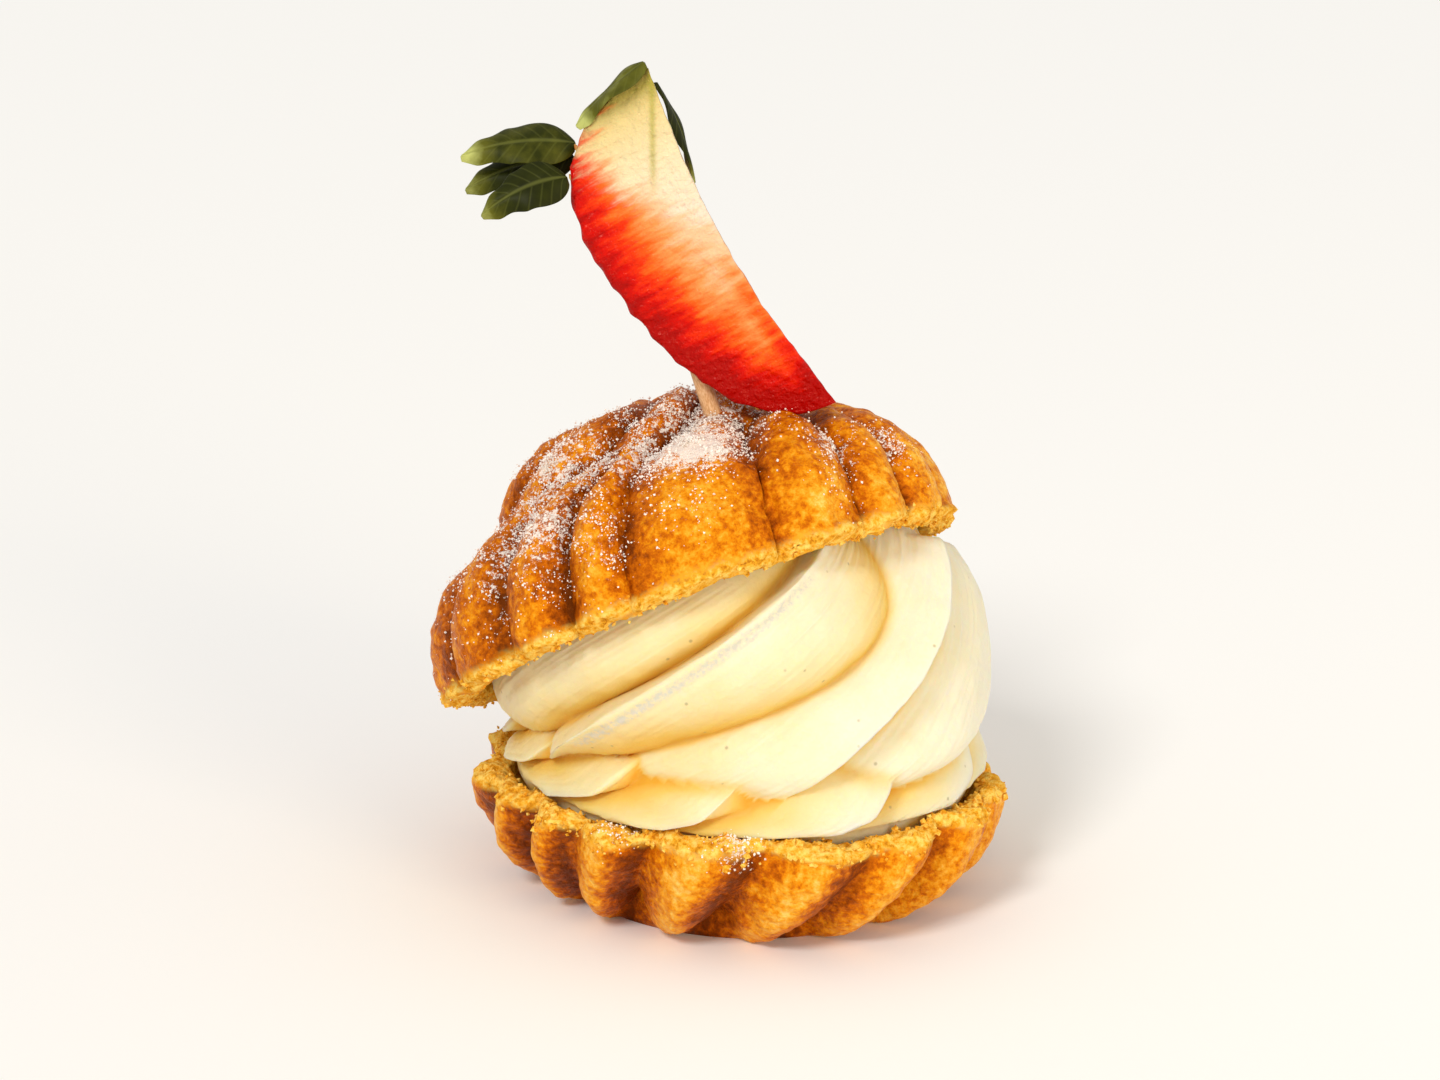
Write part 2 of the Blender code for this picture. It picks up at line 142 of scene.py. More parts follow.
CAP_BROWNING = 0.13
# Painted shade on the cap's left side
LEFT_CRUST_SHADE = 0.25
# Painted shade in the step between shoulder and cap
STEP_SHADE = 0.38
CROWN_BROWNING = 0.22

# Where icing sugar fell: (x, y, z, reach, strength)
SUGAR_FALLS = [
    (-25.5, -5.0, 48.7, 5.0, 0.75),
    (-20.0, -9.0, 51.0, 5.0, 0.75),
    (-24.0, -17.0, 47.0, 5.0, 0.7),
    (-13.0, -15.0, 53.0, 4.5, 0.7),
    (-6.4, -16.5, 56.0, 4.2, 1.5),
    (-6.8, -7.0, 57.0, 8.0, 1.0),
    (7.4, -12.5, 54.7, 3.4, 1.2),
    (14.2, -6.0, 54.8, 3.6, 0.9),
    (8.6, -17.6, 51.1, 3.0, 0.6),
    (-18.0, -24.0, 46.0, 5.5, 0.55),
    (-28.0, -17.0, 40.0, 7.0, 0.5),
    (-7.1, -25.0, 50.6, 4.0, 0.35),
]
RIM_SUGAR_FALLS = [(-0.8, -29.5, 14.4, 3.2, 0.9), (-14.0, -26.0, 14.0, 2.4, 0.6)]
RIM_SUGAR_REACH = 2.5  # above and below the rim
SUGAR_LEFT = 0.25  # strength of the sugar all over the left side
SUGAR_LIT = (0.05, 0.75)  # how far up a surface faces where sugar starts to stay and stays best
SUGAR_ON_SIDES = 0.25  # share that stays on a surface that doesn't face up
SUGAR_MOST = 1.4
SUGAR_POWER = 1.5  # more draws the grains closer to where most fell
SUGAR_CLUMPS = (1.3, 71)  # (size, seed)
SUGAR_CLUMP_RANGE = (-0.1, 0.55)
SUGAR_BETWEEN = 0.08  # share of the grains between clumps
SUGAR_LIFT = 0.05
RIM_SUGAR_LIFT = 0.1
# Strewn grains: (count, seed, spread along the surface, smallest, what is added, power),
# where a higher power makes more of them small
CAP_SUGAR = (14000, 3, 0.26, 0.06, 0.14, 2.5)
RIM_SUGAR = (350, 5, 0.25, 0.08, 0.14, 2)
CAP_CRUMBS = (700, 9, 0.15, 0.18, 0.35, 2)
RIM_CRUMBS = (900, 13, 0.15, 0.20, 0.42, 2)
CAP_CRUMB_BAND = 4.0  # how far in from the lid's radius its crumbs lie
RIM_CRUMB_BAND = 5.0
RIM_CRUMB_DROP = 1.5
GRAIN_UNEVEN = (0.55, 1.25)
SUGAR_SEED = 7
CRUMB_SEED = 15

# The cream: an upper swirl of large folds over a lower ring of small ones.
# Each fold is (heading of its crest, where its crease lies far from and at the height where
# the fold is widest, depth of the crease).
CREAM_CENTRE = np.array([-0.7, -0.5, 27.0])
CREAM_RADIUS = 28.8
CREAM_RISE = 24.0
CREAM_DROP = 12.5
CREAM_RISE_POWER = 2.2
CREAM_DROP_POWER = 3.0
CREAM_FOLDS = [
    (-148, 0.12, 0.72, 5.2),
    (-84, 0.10, 0.20, 4.2),
    (-27, 0.30, 0.40, 4.6),
    (40, 0.40, 0.60, 5.0),
    (98, 0.30, 0.50, 4.8),
    (155, 0.80, 0.93, 4.4),
]
FOLD_ROUNDNESS = 0.65
CREASE_WIDTH = 0.0015
FOLD_START = math.radians(-20)  # elevation at which a crest has its own heading
FOLD_LEAN = 1.3
FOLD_LEAN_END = math.radians(75)
FOLD_END = math.radians(-13)  # elevation of the front fold's blunt end
FOLD_END_PLACE = 1.55
FOLD_END_SWELL = 1.6
FOLD_END_SPREAD = (0.3, math.radians(8))  # in place and in elevation
FOLD_WIDEST = math.radians(20)
FOLD_SPREAD = math.radians(29)
FOLD_STEPS = 84  # columns for each fold
CREAM_ROWS = 172
CREAM_EVENNESS = 0.55  # 1 spaces the rows evenly, and less draws them to mid height
CUP_CLEARANCE = 0.9  # between the cream and the height of a cut edge
LID_CLEARANCE = 1.3
CUP_FLARE = 4.0  # how fast the cream may widen past a cut edge
LID_FLARE = 2.0
CAVITY_POWER = 2.2
RING_CRESTS = [-153, -126, -98, -58, -20, 10, 40, 70, 100, 130, 160, 185]
RING_CENTRE_Z = 11.0
RING_RADIUS = 28.4
RING_RISE = 13.5
RING_POWER = 3.4
RING_SWELL = (-80, 0.5, 1.4)  # (heading, width in radians, how much it grows out and up)
RING_DEPTH = 2.8
RING_VALLEY = 0.22
RING_LEAN = 4.2
RING_LEAN_END = math.radians(15)
RING_FOOT = math.radians(-36)  # elevation at which its creases start
RING_FULL = math.radians(-24)  # and reach their full depth
RING_SOFTNESS = 0.25  # of the seam between ring and swirl
RING_SEAM_WIDTH = 1.2
STREAKS = (60, 4, 81)  # (streaks in a fold, waves along each, seed)
STREAK_HEIGHT = 0.10
CREAM_LUMPS = [(7.0, 0.22, 91), (1.6, 0.05, 95)]
# Along the left fold's crest: (shift past the crest, half width, elevations in degrees
# between which it starts, elevations between which it ends)
CREST_LIP = (0.0, 0.04, (-16, -4), (60, 30))
CREST_LIP_HEIGHT = 0.6
CREST_DRY = (0.05, 0.06, (-16, -6), (50, 30))
CREASE_EDGE = (-0.02, 0.06)  # past the crease, where its shade ends
CREASE_LIT = 0.85  # share of the shade that ends there
# Painted shade, which yellows the cream in its creases, along the seam above the ring and on its left
# side
CREASE_SHADE = 0.75
RING_SEAM_SHADE = 0.30
LEFT_SHADE = 0.20
SHADED_SIDE = (12, -12)  # x

# The strawberry wedge: stem end up on the left, tip down on the lid's right
BERRY_STEM = np.array([-13.6, -8.0, 96.3])
BERRY_TIP = np.array([8.5, -8.2, 59.6])
BERRY_RADIUS = 16.0
BERRY_STEM_POWERS = (9, 0.7)  # how soon and how roundly it widens at the stem
BERRY_TIP_POWERS = (3.4, 0.5)  # and narrows at the tip
BERRY_BOW = 2.0
BERRY_BOW_LIMIT = 0.6  # share of the radius
BERRY_SECTOR = math.radians(68)
BERRY_ROWS = 182
BERRY_FACE_STEPS = 44  # columns from the core to the skin
BERRY_SKIN_STEPS = 60
BERRY_SMOOTHINGS = 3  # rounds that soften the edges of the cut
BERRY_LUMPS = [(3.2, 0.16, 101)]
BERRY_GRAIN = (0.9, 0.05, 103)  # (size, height, seed)
BERRY_CALM = 0.05  # share of the length at the stem without relief
BERRY_TIP_CALM = 0.97
DIMPLE_DEPTH = 0.42
DIMPLE_REACH = 0.75
DIMPLE_RIM = (1.2, 2.4)  # from a seed, where the flesh between dimples starts and is full
DIMPLE_SWELL = 0.25
THREAD_LOW = (-12.6, 82.5)  # x and z of the ends of the green thread in the pale flesh
THREAD_HIGH = (-13.2, 95.5)
THREAD_WIDTH = 0.35
THREAD_FADE = (-2, 4)  # below and above its low end
THREAD_STRENGTH = 0.7
CORE_REACH = (2.6, 0.4)  # from the core's line, where its red starts and is full
CORE_SHARE = (0.42, 0.62)  # shares of the length between which that red starts

SEED_ROWS = 22
SEED_SHARES = (0.10, 0.95)  # of the berry's length
SEED_SPACING = 2.9
SEED_MARGIN = 0.12  # radians from the cut
SEED_LEAST_RADIUS = 3.0
SEED_JITTER = (0.006, 0.02, 17)  # (share, turn, seed of the draws)
SEED_HALF = np.array([0.8, 0.36, 0.30])  # half its length, width and height
SEED_LIFTS = (-0.5, -0.2, 0.2, 0.5)
SEED_ROUND = 0.86 * math.pi
SEED_SIDES = 8
SEED_SINK = 0.15

LEAF_THICKNESS = 0.5
LEAF_WAVE = 0.35
LEAF_ARCH = 0.18
LEAF_WAVES = 3  # half waves along each edge
LEAF_LEAST = 0.25  # half width at its ends
LEAF_BELLY = 0.75  # 1 is widest in the middle, and less nearer the root
LEAF_FULLNESS = 0.8  # less keeps it wide for longer
LEAF_TEETH = (0.22, 3.5, 1.5)  # (depth as a share of the width, teeth on each edge, sharpness)
LEAF_TEETH_SHARE = (0.35, 0.8)  # shares of its length between which they start
LEAF_RIB = (0.35, 0.12)  # (depth as a share of the thickness, width)
LEAF_TIP = (0.65, 1.0)  # shares of its length between which it turns lighter
LEAF_TIP_LIGHT = 0.5
LEAF_ROWS = 92
LEAF_SIDES = 48
LEAVES = {
    "leaf_upper": {
        "root": (-21.3, -5.4, 87.0),
        "bend": (-27.8, -5.4, 87.8),
        "tip": (-33.9, -6.2, 85.2),
        "normal": (0.1, -0.62, 0.78),
        "width": 2.7,
        "light": 0.24,
    },
    "leaf_middle": {
        "root": (-21.5, -4.2, 85.3),
        "bend": (-28.0, -4.2, 84.8),
        "tip": (-33.4, -5.0, 81.2),
        "normal": (0.0, -0.70, 0.70),
        "width": 2.5,
        "light": 0.05,
    },
    "leaf_lower": {
        "root": (-22.0, -8.9, 84.0),
        "bend": (-26.6, -10.6, 84.0),
        "tip": (-31.2, -11.2, 79.8),
        "normal": (-0.1, -0.80, 0.58),
        "width": 2.6,
        "light": 0.08,
    },
    "leaf_shoulder": {
        "root": (-14.0, -7.6, 96.8),
        "bend": (-18.7, -7.6, 93.3),
        "tip": (-21.2, -7.6, 89.3),
        "normal": (-0.72, -0.25, 0.65),
        "width": 1.9,
        "light": 0.40,
    },
    "leaf_back": {
        "root": (-12.9, -4.4, 94.0),
        "bend": (-9.8, -3.4, 89.6),
        "tip": (-8.2, -3.6, 82.6),
        "normal": (0.92, -0.12, 0.38),
        "width": 1.3,
        "light": 0.05,
    },
}

STICK_FOOT = np.array([-3.4, -5.0, 51.8])
STICK_HEAD = np.array([-10.2, -5.0, 71.2])
STICK_RADIUS = 1.0
STICK_POINT = 3.0  # length of the cone at either end
STICK_BLUNT = 0.02  # share of the radius next to the pole
STICK_WAVES = (7, 0.3, 0.02)  # (waves round it, their turn in a millimetre, share of the radius)
STICK_ROWS = 82
STICK_SIDES = 40

# The patterns in the materials: (size in millimetres, layers, roughness of the layers)
CRUST_NOISES = [(3.2, 5.0, 0.6), (0.9, 4.0, 0.7), (0.8, 4.0, 0.8)]  # mottle, fine grain, dust
CREAM_NOISES = [(6.0, 3.0, 0.5), (1.1, 4.0, 0.6), (0.6, 3.0, 0.7)]  # clouds, grain, specks
PORE_SIZE = 1.0
BAKED_WEIGHTS = (0.9, 1.3, 0.52)  # how much mottle and fine grain brown the skin, and how much painted shade darkens the grooves
BAKED_RANGE = (0.90, 1.96)
DUST_WEIGHT = 0.24
DUST_RANGE = (0.70, 0.79)  # a narrow one, so that the dust has edges
DUST_MOST = 0.9
CLOUD_WEIGHT = 0.25  # how much the clouds colour the cream
VANILLA_SPACING = 2.1
VANILLA_REACH = (0.05, 0.13)  # shares of the spacing where a grain is full and where it ends
VANILLA_MOST = 0.6
VANILLA_RARITY = 0.72  # share of the places without a grain
DRY_START = 0.34  # speck times crest above which the cream is dry
DRY_RANGE = 0.24
DRY_MOST = 0.9
JUICE_SIZE = 0.9
VEIN_STRETCH = (34.0, 0.16, 8.0)  # veins in the length, in a millimetre of depth, in a radian
VEIN_SLANT = -0.35
RIPENESS = (-0.5, 1.0)  # at the stem and at the tip
RIPE_FROM = 0.05  # share of the length
FLESH_WEIGHTS = (11.0, -4.2, -4.5)  # millimetres of depth for veins, ripeness and core
FLESH_DEPTH = 14  # millimetres under the skin where it is palest
BOUNDARY_WEIGHTS = (-0.023, 0.32)  # how depth and veins shift the edge of the pale end
BOUNDARY_RANGE = (0.02, 0.15)  # shares of the length
LEAF_PATCH = 2.0
LEAF_PATCH_WEIGHT = 0.5
LEAF_SIDE_VEINS = 8
LEAF_VEIN_SLANT = -0.16
LEAF_SIDE_VEIN = (0.75, 1.0, 0.10)  # (height of its wave where it starts and is full, strength)
LEAF_MIDRIB = (0.03, 0.12, 0.3)  # (shares of the half width where it is full and ends, strength)
FIBRE_STRETCH = (4.0, 4.0, 1.2)  # across a radius both ways, and along a millimetre
SUGAR_PATCH = 1.5
SEED_PATCH = 0.8

# The depth of each material's finest relief, in millimetres
CRUST_BUMP = 0.40
CREAM_BUMP = 0.16
FLESH_BUMP = 0.35
LEAF_BUMP = 0.2
BIRCH_BUMP = 0.08

# The colours, from one end of each pattern to the other
# Colours of the baked skin, along which painted shade also darkens it
BAKED_AND_SHADED_COLOURS = [
    (0.02, "#ffce6a"),
    (0.24, "#f6ad30"),
    (0.42, "#e68c0a"),
    (0.60, "#c86503"),
    (0.80, "#9a4501"),
    (1.00, "#6f2e03"),
]
CRUMB_COLOURS = [(0.30, "#b8690a"), (0.45, "#f0ab2b"), (0.62, "#ffdc72")]
DUST_COLOUR = "#faf1e6"
# Tints the crust's reflections amber: a painted reflection of golden surroundings
GOLDEN_REFLECTION_TINT = "#ffcf88"
CREAM_AND_SHADE_COLOURS = [(0.12, "#ece7d0"), (0.38, "#eadaa8"), (0.72, "#e9c263"), (1.0, "#e4a838")]
VANILLA_COLOUR = "#9a8e6c"
DRY_CREAM_COLOUR = "#cfcdc2"
FLESH_COLOURS = [
    (0.0, "#a80201"),
    (0.16, "#d00a01"),
    (0.30, "#ea3206"),
    (0.44, "#f0661c"),
    (0.62, "#f29450"),
    (0.85, "#f3c296"),
]
PALE_FLESH_COLOURS = [
    (0.0, "#4f4a14"),
    (0.035, "#a89a48"),
    (0.09, "#e0cb8c"),
    (0.22, "#ecdab2"),
    (0.4, "#f2dcc6"),
]
THREAD_COLOUR = "#a8a23c"
JUICE_COLOUR = "#ffa596"
SEED_COLOURS = [(0.35, "#b0561a"), (0.65, "#efc25e")]
LEAF_COLOURS = [(0.15, "#161902"), (0.42, "#2b2f05"), (0.68, "#5c5c18"), (1.0, "#b9bd6c")]
LEAF_VEIN_COLOUR = "#828640"
BIRCH_COLOURS = [(0.3, "#c98f55"), (0.55, "#e8b987"), (0.75, "#f3cda2")]
SUGAR_COLOURS = [(0.35, "#efe4d8"), (0.6, "#fffaf4")]
BOARD_COLOUR = "#fdfcfa"

# The studio, in metres and watts
FLOOR_REACH = 12.0
LAMP_TARGET = (0.0, 0.0, 0.045)
SURROUND_COLOUR = (1.0, 0.99, 0.97, 1.0)
SURROUND_STRENGTH = 0.64
KEY_PLACE = (-0.20, -0.40, 0.42)
KEY_COLOUR = (1.0, 0.985, 0.95)
KEY_STRENGTH = 1.4
KEY_ANGLE = math.radians(14)  # a broad source, so that shadows have soft edges
GLOW_PLACE = (0.50, -0.64, 0.28)
GLOW_COLOUR = (1.0, 0.84, 0.58)
GLOW_POWER = 2.4
GLOW_SIZE = 0.40
CAMERA_PLACE = np.array([-3.77, -463.62, 187.19])  # millimetres
CAMERA_PITCH = math.radians(17.568)
CAMERA_ROLL = math.radians(2.3)
CAMERA_LENS = 106.435
CAMERA_SENSOR = 36.0
CAMERA_NEAR = 0.01


# ---------------------------------------------------------------- small helpers


def unit(vector):
    """A vector, or each of an array of vectors, over its own length."""
    return vector / np.linalg.norm(vector, axis=-1, keepdims=True)


def around(radius, theta, height):
    """Points at a radius and a heading, stacked into an array of x, y and z."""
    return np.stack([radius * np.cos(theta), radius * np.sin(theta), height + 0 * theta], -1)


def ease(low, high, value):
    """0 below low and 1 above high, with a smooth S between them."""
    share = np.clip((value - low) / (high - low), 0, 1)
    return share * share * (3 - 2 * share)


def soft_max(a, b, softness):
    """The larger of two, rounded where they cross."""
    return (a + b + np.sqrt((a - b) ** 2 + softness**2)) / 2


def hump(theta, heading, width):
    """1 at a heading in degrees, falling off smoothly to both sides."""
    apart = (theta - math.radians(heading) + math.pi) % TAU - math.pi
    return np.exp(-((apart / width) ** 2))


def dome_reach(elevation, radius, height, power):
    """How far a dome's surface is from its centre, in the direction of an elevation.

    The dome is where (outward / radius)^power + (up / height)^power is 1.
    """
    flat = np.abs(np.cos(elevation)) / radius
    tall = np.abs(np.sin(elevation)) / height
    return (flat**power + tall**power) ** (-1 / power)


def heading_at(place, headings):
    """The heading at a place in a ring of headings, numbered from 0 and closing up."""
    closed = np.append(headings, headings[0] + TAU)
    return np.interp(place, np.arange(len(closed)), closed)


def places(ridges, steps):
    """A row of places round a ring: each ridge's own number, and the steps on to the next."""
    return np.arange(len(ridges) * steps)[None, :] / steps


def groove_between(place, roundness):
    """1 in the groove at each whole place and 0 on the ridge between two."""
    return 1 - np.abs(np.sin(math.pi * place)) ** roundness


def cell_value(cells, seed):
    """A repeatable number from 0 to 1 for each whole-numbered cell, by mixing its digits."""
    mixed = (cells.astype(np.int64) * [73856093, 19349663, 83492791]).sum(-1) + seed * 2654435
    mixed = (mixed ^ (mixed >> 13)) * 1274126177
    mixed = mixed ^ (mixed >> 16)
    return (mixed & 0xFFFF) / 0xFFFF


def noise(points, size, seed):
    """Smooth noise from -1 to 1: the values at a cell's eight corners, blended across it."""
    place = points / size
    cell = np.floor(place)
    share = ease(0, 1, place - cell)
    total = 0
    for corner in itertools.product((0, 1), repeat=3):
        weight = np.prod(np.where(corner, share, 1 - share), axis=-1)
        total = total + weight * cell_value(cell + corner, seed)
    return 2 * total - 1


def lumps(points, kinds, layers=3):
    """The sum of lumps of several kinds, each (size, height, seed).

    Each is noise, with layers on it that are half as large and half as high as the last.
    """
    total = 0
    for size, height, seed in kinds:
        layered = sum(noise(points, size / 2**n, seed + n) / 2**n for n in range(layers))
        total = total + height * layered
    return total


def skin_normals(grid):
    """Unit normals of a grid: across its rows, turned against along its columns."""
    down = np.gradient(grid, axis=0)
    across = np.roll(grid, -1, axis=1) - np.roll(grid, 1, axis=1)
    crossed = np.cross(down, across)
    return crossed / np.maximum(np.linalg.norm(crossed, axis=-1, keepdims=True), 1e-9)


def raised(grid, relief):
    """A grid moved out along its normals by a relief."""
    return grid + skin_normals(grid) * relief[..., None]


def point_areas(grid):
    """The area that each point stands for: its step round times its step down."""
    step_round = np.linalg.norm(np.roll(grid, -1, 1) - grid, axis=-1)
    return step_round * np.linalg.norm(np.gradient(grid, axis=0), axis=-1)


def fall_of(points, patches):
    """How much lies at each point: the sum of round patches that fade out from their middle."""
    total = np.zeros(points.shape[:-1])
    for x, y, z, reach, strength in patches:
        apart = np.linalg.norm(points - [x, y, z], axis=-1)
        total = total + strength * np.exp(-((apart / reach) ** 2))
    return total


# ---------------------------------------------------------------- meshes


def new_piece(name, points, faces, finish, node=None):
    """A smooth object from points in millimetres, which rides on the part's one body."""
    mesh = bpy.data.meshes.new(name)
    mesh.from_pydata((points * MM).tolist(), [], faces)
    mesh.shade_smooth()
    mesh.materials.append(finish)
    piece = bpy.data.objects.new(name, mesh)
    bpy.context.scene.collection.objects.link(piece)
    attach(piece, "root")
    if node:
        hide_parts(node)
    return piece


def add_mark(piece, name, values):
    """Puts a number on each point of a piece, for its material to read."""
    piece.data.attributes.new(name, "FLOAT", "POINT").data.foreach_set("value", values)


def skin_faces(rows, columns):
    """Four-sided faces between the rows of a grid, and triangles to a pole at either end."""
    row = np.arange(rows - 1)[:, None] * columns + 1
    column = np.arange(columns)[None, :]
    after = (column + 1) % columns
    below = row + columns
    quads = np.stack([row + column, below + column, below + after, row + after], -1)
    last = rows * columns + 1
    column, after = column[0], after[0]
    top = np.stack([0 * column, 1 + column, 1 + after], -1)
    low = last - columns
    bottom = np.stack([0 * column + last, low + after, low + column], -1)
    return quads.reshape(-1, 4).tolist() + top.tolist() + bottom.tolist()


def skin_volume(points, faces):
    """Six times the volume inside, below zero where the faces point inwards."""
    corners = points[np.array([face[:3] for face in faces])]
    return np.einsum("ij,ij->i", corners[:, 0], np.cross(corners[:, 1], corners[:, 2])).sum()


def skin(name, grid, poles, finish, node, marks):
    """A closed piece from a grid and its two poles, with marks for its material to read.

    Its faces are turned outwards, and a pole takes the mean of the marks in the row next to it.
    """
    points = np.concatenate([[poles[0]], grid.reshape(-1, 3), [poles[1]]])
    faces = skin_faces(*grid.shape[:2])
    if skin_volume(points, faces) < 0:
        faces = [face[::-1] for face in faces]
    piece = new_piece(name, points, faces, finish, node)
    for mark, values in marks.items():
        values = np.broadcast_to(values, grid.shape[:2])
        add_mark(piece, mark, np.concatenate([[values[0].mean()], values.ravel(), [values[-1].mean()]]))


def grains(name, centres, sizes, seed, finish):
    """Many small uneven eight-sided grains in one mesh, each turned its own way."""
    draw = np.random.default_rng(seed)
    corners = np.array([(1, 0, 0), (-1, 0, 0), (0, 1, 0), (0, -1, 0), (0, 0, 1), (0, 0, -1)], float)
    faces = np.array(
        [(0, 2, 4), (2, 1, 4), (1, 3, 4), (3, 0, 4), (2, 0, 5), (1, 2, 5), (3, 1, 5), (0, 3, 5)]
    )
    count = len(centres)
    turned, _ = np.linalg.qr(draw.normal(size=(count, 3, 3)))
    turned = turned * np.sign(np.linalg.det(turned))[:, None, None]
    uneven = corners[None] * draw.uniform(*GRAIN_UNEVEN, (count, len(corners), 1))
    points = centres[:, None] + sizes[:, None, None] * (uneven @ turned)
    every = faces[None] + len(corners) * np.arange(count)[:, None, None]
    piece = new_piece(name, points.reshape(-1, 3), every.reshape(-1, 3).tolist(), finish)
    piece.data.shade_flat()
    return piece


# ---------------------------------------------------------------- materials


def linear(hex_colour):
    """An sRGB hex colour as linear red, green, blue and alpha."""
    values = [int(hex_colour[at : at + 2], 16) / 255 for at in (1, 3, 5)]
    return [v / 12.92 if v <= 0.04045 else ((v + 0.055) / 1.055) ** 2.4 for v in values] + [1.0]


def put(tree, kind, inputs=None, stops=None, **settings):
    """Adds a node. An input is a value or another node's output, and stops are for a ramp."""
    made = tree.nodes.new("ShaderNode" + kind)
    for name, value in settings.items():
        setattr(made, name, value)
    for socket, value in (inputs or {}).items():
        if isinstance(value, bpy.types.NodeSocket):
            tree.links.new(value, made.inputs[socket])
        else:
            made.inputs[socket].default_value = value
    if stops:
        ramp = made.color_ramp.elements
        while len(ramp) < len(stops):
            ramp.new(1.0)
        for element, (position, colour) in zip(ramp, stops):
            element.position = position
            element.color = linear(colour)
    return made


FACTOR, COLOUR_A, COLOUR_B, MIXED = 0, 6, 7, 2  # sockets of a Mix node set to colours


def per_metre(size):
    """A texture's scale for features of a size in millimetres."""
    return 1 / (size * MM)


def new_material(name, **values):
    """A material with a Principled shader and fixed values on its own sockets."""
    made = bpy.data.materials.new(name)
    made.use_nodes = True
    shader = made.node_tree.nodes["Principled BSDF"]
    for socket, value in values.items():
        shader.inputs[socket.replace("_", " ")].default_value = value
    return made, made.node_tree, shader


def choux_crust():
    """Choux paste, washed with egg and baked.

    The skin is satin and golden and mottled, browner where the oven caught it, and darker
    with painted shade in the grooves, on one side of each ridge, and on the cap's left and at its
    step. A cut shows the matt yellow crumb. Icing sugar lies on it as a broken white dust.
    """
    made, tree, shader = new_material(
        "baked_choux_crust",
        IOR=1.45,
        Specular_IOR_Level=0.16,
        # Painted reflection: amber-tinted reflections
        Specular_Tint=linear(GOLDEN_REFLECTION_TINT),
    )
    where = put(tree, "TexCoord").outputs["Object"]
    groove, bake_and_shade, crumb, dust = (
        put(tree, "Attribute", attribute_name=name).outputs["Fac"]
        for name in ("groove", "bake_and_shade", "crumb", "dust")
    )
    noises = []
    for size, layers, rough in CRUST_NOISES:
        inputs = {"Vector": where, "Scale": per_metre(size), "Detail": layers, "Roughness": rough}
        noises.append(put(tree, "TexNoise", inputs).outputs["Fac"])
    mottle, fine, scatter = noises
    # The mark read here holds painted shade as well as browning
    tone = bake_and_shade
    # The grooves' weight is painted shade: it darkens the skin in each groove
    for part, weight in zip((mottle, fine, groove), BAKED_WEIGHTS):
        added = {0: part, 1: weight, 2: tone}
        tone = put(tree, "Math", added, operation="MULTIPLY_ADD").outputs[0]
    ranges = {"Value": tone, "From Min": BAKED_RANGE[0], "From Max": BAKED_RANGE[1]}
    tone = put(tree, "MapRange", ranges).outputs["Result"]
    baked = put(tree, "ValToRGB", {"Fac": tone}, stops=BAKED_AND_SHADED_COLOURS).outputs["Color"]
    torn = put(tree, "ValToRGB", {"Fac": fine}, stops=CRUMB_COLOURS).outputs["Color"]
    mixed = {FACTOR: crumb, COLOUR_A: baked, COLOUR_B: torn}
    crust = put(tree, "Mix", mixed, data_type="RGBA").outputs[MIXED]

    added = {0: dust, 1: DUST_WEIGHT, 2: scatter}
    fallen = put(tree, "Math", added, operation="MULTIPLY_ADD").outputs[0]
    ranges = {"Value": fallen, "From Min": DUST_RANGE[0], "From Max": DUST_RANGE[1], "To Max": DUST_MOST}
    dusted = put(tree, "MapRange", ranges, interpolation_type="SMOOTHSTEP").outputs["Result"]
    mixed = {FACTOR: dusted, COLOUR_A: crust, COLOUR_B: linear(DUST_COLOUR)}
    colour = put(tree, "Mix", mixed, data_type="RGBA").outputs[MIXED]
    tree.links.new(colour, shader.inputs["Base Color"])

    dry = put(tree, "Math", {0: crumb, 1: dusted}, operation="MAXIMUM").outputs[0]
    rough = put(tree, "MapRange", {"Value": dry, "To Min": 0.40, "To Max": 0.85}).outputs["Result"]
    tree.links.new(rough, shader.inputs["Roughness"])
    spread = {"Vector": where, "Scale": per_metre(PORE_SIZE), "Randomness": 1.0}
    pores = put(tree, "TexVoronoi", spread).outputs["Distance"]
    relief = put(tree, "Math", {0: pores, 1: 0.5, 2: fine}, operation="MULTIPLY_ADD").outputs[0]
    bump = put(tree, "Bump", {"Height": relief, "Distance": CRUST_BUMP * MM, "Strength": 0.9})
    tree.links.new(bump.outputs["Normal"], shader.inputs["Normal"])
    return made


